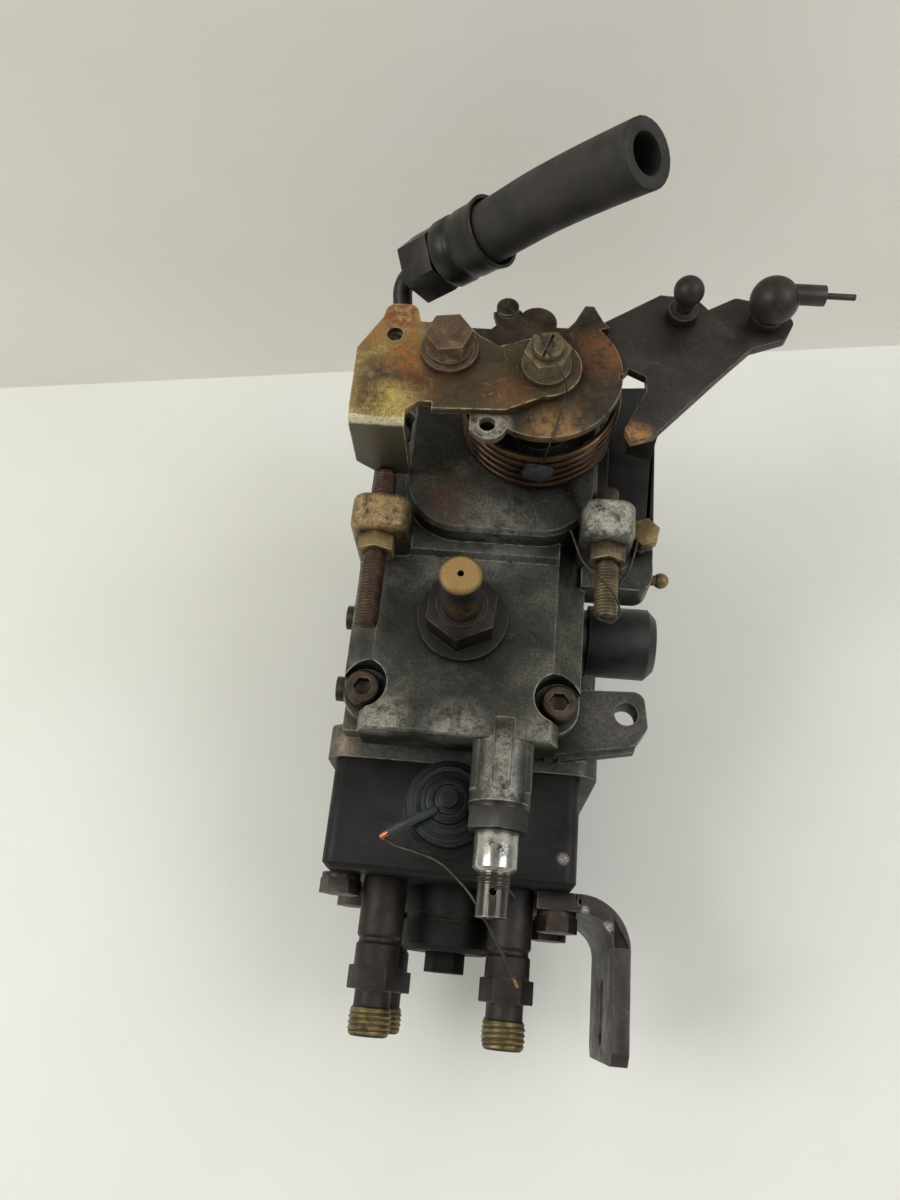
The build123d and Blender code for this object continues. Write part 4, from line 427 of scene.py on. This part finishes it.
# Ground steel: even bright grey with a soft mirror and hardly any grain
ground_steel = used_metal("ground_steel", (0.3, "#6d6b67"), (0.6, "#85837f"), (0.8, "#9c9a95"),
                          metallic=0.9, rough=(0.25, 0.4), blotch=10, grain=0.5, depth=0.01,
                          dirt=0.5)
SEEN_PARTS = (
    "pump_housing", "timer_covers", "governor_cover", "hydraulic_head", "delivery_valve_holders",
    "centre_plug", "bleed_screw", "idle_screw", "speed_screw", "cover_screws", "lever_fasteners",
    "lever_shaft", "head_bolts", "timer_cover_screws", "lock_nuts", "side_bolt", "stop_bracket",
    "spring_plate", "throttle_lever", "ball_studs", "cable_socket", "rear_bracket", "side_cap",
    "side_plate", "pressure_valve", "fuel_cut_solenoid", "return_fitting", "inlet_pipe",
    "hose_ferrule", "full_load_nut", "full_load_screw", "return_spring", "cover_gasket",
    "shaft_seal", "fuel_hose")
dress(ground_steel, *[name for name in nodes if name not in SEEN_PARTS])


def thread(name, start, end, radius, pitch, proud, material, body):
    """Helical ridge round a plain CAD shank, from start to end, all in millimetres.

    It stands proud of the shank's radius by so much, and runs out over one turn at each end.
    """
    around, rows_a_turn, sunk = 40, 6, 0.05
    start, end = Vector(start) * MM, Vector(end) * MM
    axis = end - start
    turn = axis.to_track_quat("Z", "Y").to_matrix()
    lead = pitch * MM
    rows = max(8, int(axis.length / lead * rows_a_turn)) + 1
    points = []
    for i in range(rows):
        along = axis.length * i / (rows - 1)
        run_out = min(1.0, along / lead, (axis.length - along) / lead)
        for j in range(around):
            angle = 2 * math.pi * j / around
            crest = 0.5 + 0.5 * math.cos(2 * math.pi * (along / lead - j / around))
            r = (radius - sunk + proud * crest * run_out) * MM
            points.append(start + turn @ Vector((r * math.cos(angle), r * math.sin(angle), along)))
    from_points(name, points, ring_faces(rows, around), body, material)


# Drive-end thread of the shaft, M12 x 1.5
thread("shaft_thread", (0, 30.8, 0), (0, 42.8, 0), radius=6.0, pitch=1.5, proud=0.4,
       material=ground_steel, body="drive")

# The lip seal behind it is black moulded rubber.
dress(old_rubber("seal_rubber", "#131110", "#231f1d"), "shaft_seal", rounding=0.2)


# ---------------------------------------------------------------- cylinder on the right side
# Long turned steel cap of the side port. The flat bracket under the throttle lever and the
# pressure valve's head on the left have the same coat. All are screwed to the housing.

# Black oxide on turned steel: deep grey-black with a waxy sheen, rims rubbed to bare steel
black_oxide = used_metal("black_oxide_steel", (0.3, "#171615"), (0.6, "#2a2928"),
                         (0.85, "#3d3a37"), metallic=0.3, rough=(0.3, 0.55), blotch=12,
                         grain=0.5, depth=0.05, wear="#8b8375", wear_share=0.8,
                         scuffs=("#57534b", 0.35))
dress(black_oxide, "side_cap", "side_plate", "pressure_valve", rounding=0.4)


# ---------------------------------------------------------------- governor cover
# Die-cast aluminium cover on a thin sheet gasket, held by M6 socket screws. It carries the
# lever tower, the lugs of both adjusting screws and the full-load screw's boss.

# Pressed fibre gasket: matt black with fine fuzz
gasket_sheet = used_metal("gasket_sheet", (0.3, "#151413"), (0.7, "#2a2724"), metallic=0.0,
                          rough=(0.7, 0.9), blotch=4, grain=0.4, depth=0.03)
dress(gasket_sheet, "cover_gasket")

# Die-cast aluminium: dull grey soaked olive-brown by oil in clouds of 17 mm, with the lugs, the
# rib and the edges rubbed bright by hands, hoses and tools, painted light on the left flank and
# painted shade under the return spring
COVER_SPOTS = (
    (-28, -63, 84, 12, "#b09164"),       # left lug, tan with rust
    (39, -60, 84, 11, "#b3b0a3"),        # right lug, rubbed bright
    (13.4, -126, 68, 6, "#a5a296"),      # rib on the boss
    (13.4, -134, 67, 6, "#a5a296"),
    (0, -121, 65.5, 9, "#85837a"),       # rear slope
    (-22, -119, 65, 8, "#8b897d"),
    (24, -119, 65, 7, "#7c7a6f"),
    (7, -62, 74, 13, "#6c6a60"),         # platform, with two rust stains
    (-8, -53, 74, 9, "#4a3527"),
    (6, -43, 74, 7, "#40332a"),
    (-36, -80, 55, 12, "#85857a"),       # left flank, painted light where it faces the key lamp
    (15, -30, 75, 20, "#1d1c18"),        # painted shade under the return spring and its plate
    (-2, -95, 66, 19, "#252621"),        # oil round the return fitting
    (7.0, -130, 62, 9, "#35342d"),       # flanks of the boss
    (20, -129, 61, 6, "#33322c"))
cover_casting = used_metal(
    "cover_casting", (0.28, "#0e0e0b"), (0.42, "#1e1e19"), (0.56, "#39382f"), (0.75, "#615f54"),
    metallic=0.35, rough=(0.25, 0.5), blotch=17, grain=0.7, depth=0.16, pits=0.6,
    wear="#b4b1a4", wear_share=1.0, wear_width=0.9, scuffs=("#77756a", 0.4),
    rust=("#4a3520", "#6f5230"), rust_from=0.72, dirt=1.0, spots=COVER_SPOTS)
dress(cover_casting, "governor_cover", rounding=0.8)

# Cast web between the platform and the side plate's edge: the same metal, near-black as painted
# shade of the gap there
WEB_OUTLINE = ((33.5, -56), (37, -57.5), (39.6, -55), (39.9, -30), (39.9, -7), (38.2, -3.5),
               (33.5, -3))
WEB_LOW, WEB_HIGH, WEB_ROUNDING = 59.0, 65.5, 0.8
web_shade_casting = used_metal("web_painted_shade", (0.3, "#10100d"), (0.6, "#201f1a"), (0.8, "#34332c"),
                          metallic=0.3, rough=(0.3, 0.5), blotch=14, grain=0.7, depth=0.1)
web_points = [Vector((x, y, z)) * MM for z in (WEB_LOW, WEB_HIGH) for x, y in WEB_OUTLINE]
corners = len(WEB_OUTLINE)
web_faces = ring_faces(2, corners) + [tuple(range(corners, 2 * corners)),
                                      tuple(reversed(range(corners)))]
web = from_points("cover_web", web_points, web_faces, "pump", web_shade_casting)
web_edges = web.modifiers.new("rounding", "BEVEL")
web_edges.width = WEB_ROUNDING * MM
web_edges.segments = 3

# Socket screws of the cover: quenched steel, browned by heat and oil, with orange rust
browned_screw = used_metal("browned_screw", (0.3, "#231b15"), (0.55, "#43352a"),
                           (0.8, "#6a5540"), metallic=0.4, blotch=5, grain=0.4, depth=0.03,
                           wear="#a18d70", rust=("#533118", "#7a4c25"), rust_from=0.6)
dress(browned_screw, "cover_screws", rounding=0.3)

# Screws of the timer covers: the same, darker and greasier
bolt_steel = used_metal("bolt_steel", (0.3, "#1c1714"), (0.55, "#332a25"), (0.8, "#54463b"),
                        metallic=0.4, blotch=5, grain=0.4, depth=0.03, wear="#7d6c58",
                        rust=("#4b2e1b", "#6e4626"), rust_from=0.66)
dress(bolt_steel, "timer_cover_screws", rounding=0.3)


# ---------------------------------------------------------------- idle and speed screws
# Two M6 adjusting screws in the lugs of the cover, each with a lock nut; the side bracket's
# screw is plated like the nuts. A seal wire from the right lug locks the speed screw's end.

SCREW_R, SCREW_PITCH, SCREW_PROUD = 3.0, 1.0, 0.45
IDLE_X, IDLE_Z = -27.5, 75.5
SPEED_X, SPEED_Z = 39.1, 74
dress(browned_screw, "idle_screw", "speed_screw", rounding=0.2)

# Yellow zinc plating: brassy with a soft sheen; the right nut has lost it and gone dark
NUT_SPOTS = ((SPEED_X, -68, SPEED_Z, 11, "#39352c"), (SPEED_X, -89, SPEED_Z, 10, "#4b473c"))
nut_zinc = used_metal("nut_zinc", (0.3, "#4a3d24"), (0.55, "#7a6742"), (0.8, "#a8935f"),
                      metallic=0.45, rough=(0.3, 0.5), blotch=5, grain=0.4, depth=0.03,
                      wear="#cbb988", rust=("#5b361b", "#875429"), rust_from=0.63,
                      grime_and_shade="#140e08", spots=NUT_SPOTS)
dress(nut_zinc, "lock_nuts", "side_bolt", rounding=0.3)

# Plain steel thread gone dull red-brown, paler on its crests
red_thread = used_metal("rusted_thread", (0.3, "#1f140e"), (0.55, "#432b1e"), (0.8, "#75543a"),
                        metallic=0.35, blotch=4, grain=0.4, depth=0.03, wear="#a08468")
for name, x, z, rear, front, material in (
        ("idle_thread_rear", IDLE_X, IDLE_Z, -95.2, -73.2, red_thread),
        ("idle_thread_front", IDLE_X, IDLE_Z, -56.8, -46.4, red_thread),
        ("speed_thread_rear", SPEED_X, SPEED_Z, -87.1, -70.8, nut_zinc)):
    thread(name, (x, rear, z), (x, front, z), SCREW_R, SCREW_PITCH, SCREW_PROUD, material,
           "pump")

# Drawn iron seal wire: dark grey, with a brassy end where it was cut off behind the head
CUT_FROM, CUT_TO = -181.5, -183.0
seal_wire = used_metal("seal_wire", (0.3, "#1d1b18"), (0.7, "#4d4840"), metallic=0.6,
                       rough=(0.3, 0.5), blotch=4, grain=0.4, depth=0.01,
                       fades=(("Y", CUT_FROM, CUT_TO, "#b8924e"),))
SPEED_WIRE = [(28, -63, 79), (29.8, -68, 79.5), (31.1, -72.3, 79.6), (34.5, -76.2, 80.2),
              (38.5, -79.3, 79.6), (41.5, -82.6, 78.4), (43.2, -86, 76), (41.4, -88.6, 74),
              (38.5, -88.2, 73.6), (36.4, -85.5, 73.4), (37, -80, 70.4), (43.5, -76, 72),
              (46.9, -68, 74), (47.6, -62, 75)]
wire("seal_wire_speed", SPEED_WIRE, radius=0.33, material=seal_wire, body="pump")


# ---------------------------------------------------------------- return fitting
# Turned steel nipple with a hexagon and a wide washer, screwed into the cover. Fuel goes back
# to the tank through it.

# Worn black steel: brown-black with a greasy sheen and pale edges; the open tip is bare and
# brassy, and rust has run down the neck
TIP_FROM, TIP_TO = 95.2, 97.0
nipple_steel = used_metal("nipple_steel", (0.3, "#0f0d0a"), (0.6, "#1e1a15"), (0.85, "#352d22"),
                          metallic=0.5, rough=(0.28, 0.48), blotch=8, grain=0.5, depth=0.04,
                          wear="#7a7060", wear_share=0.9, rust=("#5b3a1c", "#7f5528"),
                          rust_from=0.68, fades=(("Z", TIP_FROM, TIP_TO, "#b3925c"),),
                          spots=((-1.1, -93, 84, 6, "#57422a"),))
dress(nipple_steel, "return_fitting", rounding=0.35)


# ---------------------------------------------------------------- inlet pipe, union and ferrule
# Inlet screw, bent steel pipe and barbed hexagon union, brazed together, and the ferrule that
# is crimped over the hose. The full-load screw's lock nut has the same finish.

# Oiled steel: brown-black under burnt oil, with a dull sheen
union_steel = used_metal("union_steel", (0.3, "#12100e"), (0.6, "#242019"), (0.85, "#3d372f"),
                         metallic=0.35, rough=(0.3, 0.52), blotch=8, grain=0.5, depth=0.04,
                         wear="#6d6455", rust=("#4b3019", "#6d4624"), rust_from=0.7)
dress(union_steel, "inlet_pipe", "hose_ferrule", "full_load_nut", rounding=0.35)


# ---------------------------------------------------------------- full-load screw
# Adjusting screw with a ground collar that keeps it from being turned, and a slim end with a
# cross hole for its seal wire and a short run of thread.

# Ground collar: bright as chrome with a clear mirror and two smears of oil; the end is black
SCREW_X, SCREW_Z, COLLAR_END = 13.4, 57, -156.4
COLLAR_SMEARS = ((15.2, -151.2, 63.5, 2.6, "#1f1d1b"), (11.6, -149.6, 63.5, 1.6, "#3a3733"))
bright_collar = used_metal("bright_collar", (0.3, "#8a8a84"), (0.6, "#b0afa8"),
                           (0.8, "#cfcdc6"), metallic=0.85, rough=(0.14, 0.3), blotch=5,
                           grain=0.4, depth=0.01, wear="#cfcdc6",
                           fades=(("Y", COLLAR_END, COLLAR_END - 1, "#3a312b"),),
                           spots=COLLAR_SMEARS)
dress(bright_collar, "full_load_screw", rounding=0.25)
thread("full_load_thread", (SCREW_X, -160.2, SCREW_Z), (SCREW_X, -156.9, SCREW_Z), radius=4.4,
       pitch=1.0, proud=0.35, material=bolt_steel, body="pump")
HOLE_WIRE = [(13.4, -162, 57), (13.6, -161.6, 61.5), (14.9, -160.9, 63.2), (17.6, -161, 62.6),
             (19.2, -163, 61)]
wire("seal_wire_hole", HOLE_WIRE, radius=0.3, material=seal_wire, body="pump")


# ---------------------------------------------------------------- hydraulic head
# Turned and milled steel head with its four bolts, the centre plug and the bleed screw. It is
# bolted to the housing's rear face, and the outlets are screwed into it.

# Black oxide under burnt oil: the blackest and most matt skin of the pump, with one white speck
HEAD_SPECK = ((33.1, -148.5, 37.5, 1.6, "#b0aca0"),)
head_steel = used_metal("head_steel", (0.3, "#0b0a0a"), (0.55, "#151413"), (0.8, "#231f1d"),
                        metallic=0.45, rough=(0.4, 0.65), blotch=18, grain=0.6, depth=0.05,
                        wear="#6b6057", wear_share=0.7, scuffs=("#433d38", 0.35),
                        rust=("#2b1d16", "#3f2a1f"), rust_from=0.68, pits=0.4,
                        spots=HEAD_SPECK)
dress(head_steel, "hydraulic_head", rounding=0.5)
dress(bolt_steel, "head_bolts", rounding=0.3)

# Plugs between the outlets: bare steel with baked oil, dry and almost without a sheen
burnt_plug = used_metal("burnt_plug", (0.3, "#0b0a08"), (0.6, "#161310"), (0.8, "#271f1b"),
                        metallic=0.5, rough=(0.5, 0.7), blotch=7, grain=0.5, depth=0.06,
                        wear="#6c5d4e", rust=("#2b1c13", "#463020"), rust_from=0.66)
dress(burnt_plug, "centre_plug", "bleed_screw", rounding=0.35)
REAR_WIRE = [(-18.6, -148.4, 47), (-15.9, -150.5, 48), (-10.5, -151.7, 50), (-1.7, -154.3, 53),
             (3.8, -159.1, 55), (7.3, -162.4, 56.6), (9.4, -165.4, 57.6), (12.7, -170.1, 57),
             (16.4, -175.2, 52), (18.9, -179, 48), (21.9, -184.2, 43.6)]
wire("seal_wire_rear", REAR_WIRE, radius=0.38, material=seal_wire, body="pump")


# ---------------------------------------------------------------- outlet fittings
# Four delivery valve holders of forged and turned steel, screwed into the head. Their ends
# have M12 x 1.5 threads for the pipes' nuts.

# Forged steel: brown-black and rough, with the hexagons' edges rubbed
holder_steel = used_metal("holder_steel", (0.3, "#15120f"), (0.6, "#2a231f"), (0.8, "#42372f"),
                          metallic=0.35, rough=(0.42, 0.62), blotch=7, grain=0.5, depth=0.06,
                          pits=0.4, wear="#8b7763", wear_share=0.9,
                          rust=("#3b271a", "#553a24"), rust_from=0.66)
dress(holder_steel, "delivery_valve_holders", rounding=0.35)

# Yellow zinc left on the crests: brass-yellow with a clear sheen, dark in the roots with dirt and
# painted shade
worn_thread = used_metal("worn_thread", (0.3, "#43391f"), (0.6, "#776740"), (0.8, "#a39262"),
                         metallic=0.6, rough=(0.3, 0.5), blotch=3, grain=0.4, depth=0.02,
                         wear="#d2c696", grime_and_shade="#120d08")
OUTLET_OFFSET = 27.6 / math.sqrt(2)
OUTLET_REAR, OUTLET_FRONT = -200.4, -193.4
for number, (side, level) in enumerate(((-1, 1), (1, 1), (1, -1), (-1, -1)), 1):
    x, z = side * OUTLET_OFFSET, level * OUTLET_OFFSET
    thread(f"outlet_thread_{number}", (x, OUTLET_REAR, z), (x, OUTLET_FRONT, z), radius=5.9,
           pitch=1.5, proud=0.45, material=worn_thread, body="pump")


# ---------------------------------------------------------------- fuel cut-off solenoid
# Stepped steel can screwed into the head, with rings in its insulated top. Its lead was cut off
# short, and the bare copper shows.

# Blue-black lacquer: cool and nearly black, with a soft sheen and grey scratches
solenoid_lacquer = used_metal("solenoid_cap", (0.3, "#080a0d"), (0.6, "#10151a"),
                              (0.85, "#1f272d"), metallic=0.4, rough=(0.35, 0.5), blotch=8,
                              grain=0.5, depth=0.03, wear="#5a6368", wear_share=0.9,
                              scuffs=("#3b444a", 0.4))
dress(solenoid_lacquer, "fuel_cut_solenoid", rounding=0.4)

# Rings of the cap, each step a radius and a height
CAP_X, CAP_Y, CAP_POINTS = -1.0, -136.8, 64
CAP_RINGS = ((9.6, 48.7), (9.6, 49.2), (8.6, 49.2), (8.6, 48.7), (7.0, 48.7), (6.6, 49.5),
             (5.4, 49.9), (4.6, 49.9), (4.4, 49.2), (3.9, 49.2))
cap_points = [Vector((CAP_X + r * math.cos(a), CAP_Y + r * math.sin(a), z)) * MM
              for r, z in CAP_RINGS
              for a in [2 * math.pi * j / CAP_POINTS for j in range(CAP_POINTS)]]
cap_rings = from_points("solenoid_rings", cap_points, ring_faces(len(CAP_RINGS), CAP_POINTS),
                        "pump", solenoid_lacquer)
cap_edges = cap_rings.modifiers.new("split", "EDGE_SPLIT")
cap_edges.split_angle = SPLIT_ABOVE

# The lead's insulation is matt blue-grey rubber; its strands are drawn copper, salmon-bright.
LEAD = [(-4.6, -140, 49.6), (-7.5, -141.8, 51.4), (-11.4, -143.9, 50.2), (-17.2, -147, 48)]
LEAD_CORE = [(-16.5, -146.6, 48.3), (-18.2, -147.6, 47.7), (-19.3, -148.4, 47)]
lead_rubber = old_rubber("lead_black", "#20262a", "#343b40")
wire("lead_stub", LEAD, radius=1.35, material=lead_rubber, body="pump")
bare_copper = used_metal("bare_copper", (0.3, "#6d4029"), (0.7, "#b97a58"), metallic=0.8,
                         rough=(0.25, 0.45), blotch=2, grain=0.3, depth=0.01)
wire("lead_core", LEAD_CORE, radius=0.95, material=bare_copper, body="pump")


# ---------------------------------------------------------------- rear bracket
# Flat bar bent to a right angle, with its foot under the right head bolts and a long slot in
# its leg. It holds the pump's rear end to the engine.

# Hot-rolled steel: brown-black mill scale with bright scratches, and rust where water stood
BAR_SPOTS = ((41, -161, 26.5, 1.2, "#b9b4a6"), (47.8, -165.2, 26.5, 1.5, "#b9b4a6"),
             (46.8, -186, 12, 6, "#5a3120"))
hot_rolled_bar = used_metal("hot_rolled_bar", (0.3, "#211d1b"), (0.6, "#3a332f"),
                            (0.85, "#4f4640"), metallic=0.3, rough=(0.35, 0.6), blotch=14,
                            grain=0.5, depth=0.05, wear="#a39b8d", wear_share=1.0,
                            scuffs=("#8d867a", 0.5), rust=("#4a2f22", "#6b4229"),
                            rust_from=0.7, spots=BAR_SPOTS)
dress(hot_rolled_bar, "rear_bracket", rounding=0.5)


# ---------------------------------------------------------------- return spring
# Torsion spring wound from 2.4 mm wire in five turns. It lies round the lever's tower and
# turns the lever back.

SPRING_X, SPRING_Y, SPRING_LOW, SPRING_HIGH = 16.7, -25.4, 75.6, 92.3
SPRING_R, SPRING_WIRE_R, SPRING_TURNS, SPRING_STEPS = 22.0, 1.22, 5, 56
SPRING_START = math.radians(70)
# Drawn spring wire: dark with oil and a tight sheen, coppery where it is rubbed
spring_wire = used_metal("spring_wire", (0.3, "#1a120c"), (0.55, "#443120"), (0.8, "#82633f"),
                         metallic=0.8, rough=(0.22, 0.36), blotch=14, grain=0.4, depth=0.02,
                         wear="#b98a5c", grime_and_shade="#060403", dirt=0.9)
spring_route = []
for step in range(SPRING_TURNS * SPRING_STEPS + 1):
    angle = SPRING_START + 2 * math.pi * step / SPRING_STEPS
    rise = step / (SPRING_TURNS * SPRING_STEPS)
    spring_route.append((SPRING_X + SPRING_R * math.cos(angle),
                         SPRING_Y + SPRING_R * math.sin(angle),
                         SPRING_LOW + (SPRING_HIGH - SPRING_LOW) * rise))
spring = wire("spring_coil", spring_route, SPRING_WIRE_R, spring_wire, "pump", straight=True)
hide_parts("return_spring")


# ---------------------------------------------------------------- throttle lever and its studs
# Pressed steel lever on the shaft with two riveted ball studs and the ball socket of the
# cable's end.

# Phosphated steel: even brown-black, half matt, with thin scratches and rust at the claw
CLAW_RUST = ((43, -43, 95, 6, "#a97748"),)
lever_steel = used_metal("lever_steel", (0.3, "#191512"), (0.55, "#2d2723"), (0.8, "#493f38"),
                         metallic=0.3, rough=(0.35, 0.58), blotch=12, grain=0.4, depth=0.04,
                         wear="#968875", wear_share=1.0, scuffs=("#6b5f52", 0.5),
                         rust=("#47291a", "#6b4128"), rust_from=0.74, grime_and_shade="#0e0a08",
                         spots=CLAW_RUST)
dress(lever_steel, "throttle_lever", "ball_studs", "cable_socket", rounding=0.3)


# ---------------------------------------------------------------- spring plate
# Round steel plate pressed over the return spring, cut flat at the top, with a lobe and a tab
# that has a hole.

# Bare pressed steel: rust under oil in browns of 9 mm, with scratches and a rim rubbed bright
PLATE_SPOTS = ((35, -16, 99.5, 9, "#7b4f2b"),        # orange rust by the claw
               (3, -43, 99.5, 5.5, "#b5b1a5"),       # bare tab
               (22, -44, 99.5, 9, "#94734b"))        # tan front edge
rusted_plate = used_metal("rusted_plate", (0.25, "#120e0b"), (0.45, "#2e241b"),
                          (0.6, "#483927"), (0.8, "#665436"), metallic=0.4, rough=(0.3, 0.6),
                          blotch=9, grain=0.45, depth=0.08, pits=0.6, wear="#b8ac92",
                          wear_share=1.0, wear_width=0.7, scuffs=("#8d7a5c", 0.45),
                          rust=("#502c18", "#7c4825"), rust_from=0.64, spots=PLATE_SPOTS)
dress(rusted_plate, "spring_plate", rounding=0.3)


# ---------------------------------------------------------------- stop bracket
# Steel strip, punched, folded down at its left end and plated with yellow zinc. It lies on top
# of the lever stack under the bolt and the shaft's nut.

# Yellow zinc: iridescent straw to olive with a soft sheen. The fold carries a painted highlight,
# the nose is red with rust, the strip has gone brown-black, and the tab has painted shade.
STRIP_FADES = (("X", -21, -11, "#3c3224"),          # strip under the bolt and nut
               ("Y", -42.8, -43.8, "#e6dfba"),      # fold, painted highlight
               ("Z", 100.0, 99.0, "#211f1b"))       # tab, painted shade where it faces away from the lamps
STRIP_SPOTS = ((-25, -8.5, 102, 7.5, "#854a2c"),     # nose
               (-33, -24, 102, 9, "#7d6a40"),        # left part, olive, straw and brown
               (-20, -30, 102, 9, "#63391f"),
               (9, -35, 102, 8, "#6d4a2a"),
               (-28, -31, 102, 8, "#4b3a28"),
               (-26, -38, 102, 6, "#c2ab5c"),
               (-33, -15, 102, 6, "#a0703a"),
               (-22, -22, 102, 7, "#a2682f"),
               (-31, -38, 102, 5, "#5a4328"),
               (-26.3, -15.6, 100.2, 2.8, "#120d09"),     # dimple, filled with oil
               (-26.3, -15.6, 99.8, 3.2, "#120d09"))
yellow_zinc = used_metal("yellow_zinc", (0.25, "#4f3f27"), (0.42, "#7d6740"), (0.58, "#a8905a"),
                         (0.8, "#c9b67c"), metallic=0.35, rough=(0.35, 0.55), blotch=8,
                         grain=0.5, depth=0.05, pits=0.5, wear="#e0d8b4", wear_share=1.0,
                         wear_width=0.8, scuffs=("#c4b78a", 0.35), rust=("#6b3c20", "#935a2c"),
                         rust_from=0.6, grime_and_shade="#1a120a", fades=STRIP_FADES, spots=STRIP_SPOTS)
dress(yellow_zinc, "stop_bracket", rounding=0.5)


# ---------------------------------------------------------------- lever bolt, nut and lead seal
# Hexagon bolt with two washers, and the nut on the shaft's slotted end, both of plated steel. A
# thin wire runs from the plate's knob over the nut down to a pressed lump of lead.

LEVER_X, LEVER_Y = 17.5, -24.0
# Plated bolts gone brown: a worn sheen on pale corners; the nut is greener, its slot dark
NUT_TONES = ((LEVER_X, LEVER_Y, 106, 9, "#7d765c"), (LEVER_X, LEVER_Y, 111, 3.2, "#2d2a24"))
lever_bolts = used_metal("lever_bolts", (0.3, "#3c3126"), (0.55, "#67533f"), (0.8, "#9a8063"),
                         metallic=0.45, rough=(0.28, 0.52), blotch=6, grain=0.4, depth=0.03,
                         pits=0.4, wear="#b9a584", wear_share=1.0, rust=("#5b3620", "#855128"),
                         rust_from=0.62, grime_and_shade="#15100b", spots=NUT_TONES)
dress(lever_bolts, "lever_fasteners", "lever_shaft", rounding=0.3)
thread("lever_stud_thread", (LEVER_X, LEVER_Y, 109.5), (LEVER_X, LEVER_Y, 111.1), radius=4.0,
       pitch=1.25, proud=0.3, material=nut_zinc, body="throttle")
NUT_WIRE = [(4.9, -2.6, 100), (5.6, -4.5, 102.5), (9.1, -7.3, 103), (13.4, -15.5, 106),
            (15.2, -20.5, 112.1), (16.6, -25.5, 112.1), (19.9, -29.6, 111.2), (23.9, -33, 105),
            (22.8, -36, 101), (21.4, -42, 100.6), (20.1, -46.4, 99), (18.9, -48.4, 93),
            (17.6, -48.6, 88)]
wire("seal_wire_nut", NUT_WIRE, radius=0.24, material=seal_wire, body="throttle")

# Pressed lead: a slate-black, quite matt lump with soft dents
SEAL = Vector((17.3, -48.9, 86.6))
SEAL_HALF = (4.4, 3.0, 3.4)
SEAL_ROWS, SEAL_AROUND = 13, 20
DENT, NICK = 0.09, 0.05
old_lead = used_metal("old_lead", (0.3, "#07080a"), (0.7, "#131618"), metallic=0.0,
                      rough=(0.6, 0.8), blotch=3, grain=0.6, depth=0.2)
seal_points = []
for i in range(SEAL_ROWS):
    v = math.pi * i / (SEAL_ROWS - 1)
    for j in range(SEAL_AROUND):
        u = 2 * math.pi * j / SEAL_AROUND
        lump = 1 + DENT * math.sin(3 * u + 1.3) * math.sin(2 * v) + NICK * math.cos(5 * v + u)
        reach = Vector((math.sin(v) * math.cos(u), math.sin(v) * math.sin(u), math.cos(v)))
        seal_points.append((SEAL + Vector([h * lump * r for h, r in zip(SEAL_HALF, reach)])) * MM)
from_points("lead_seal", seal_points, ring_faces(SEAL_ROWS, SEAL_AROUND), "throttle", old_lead)
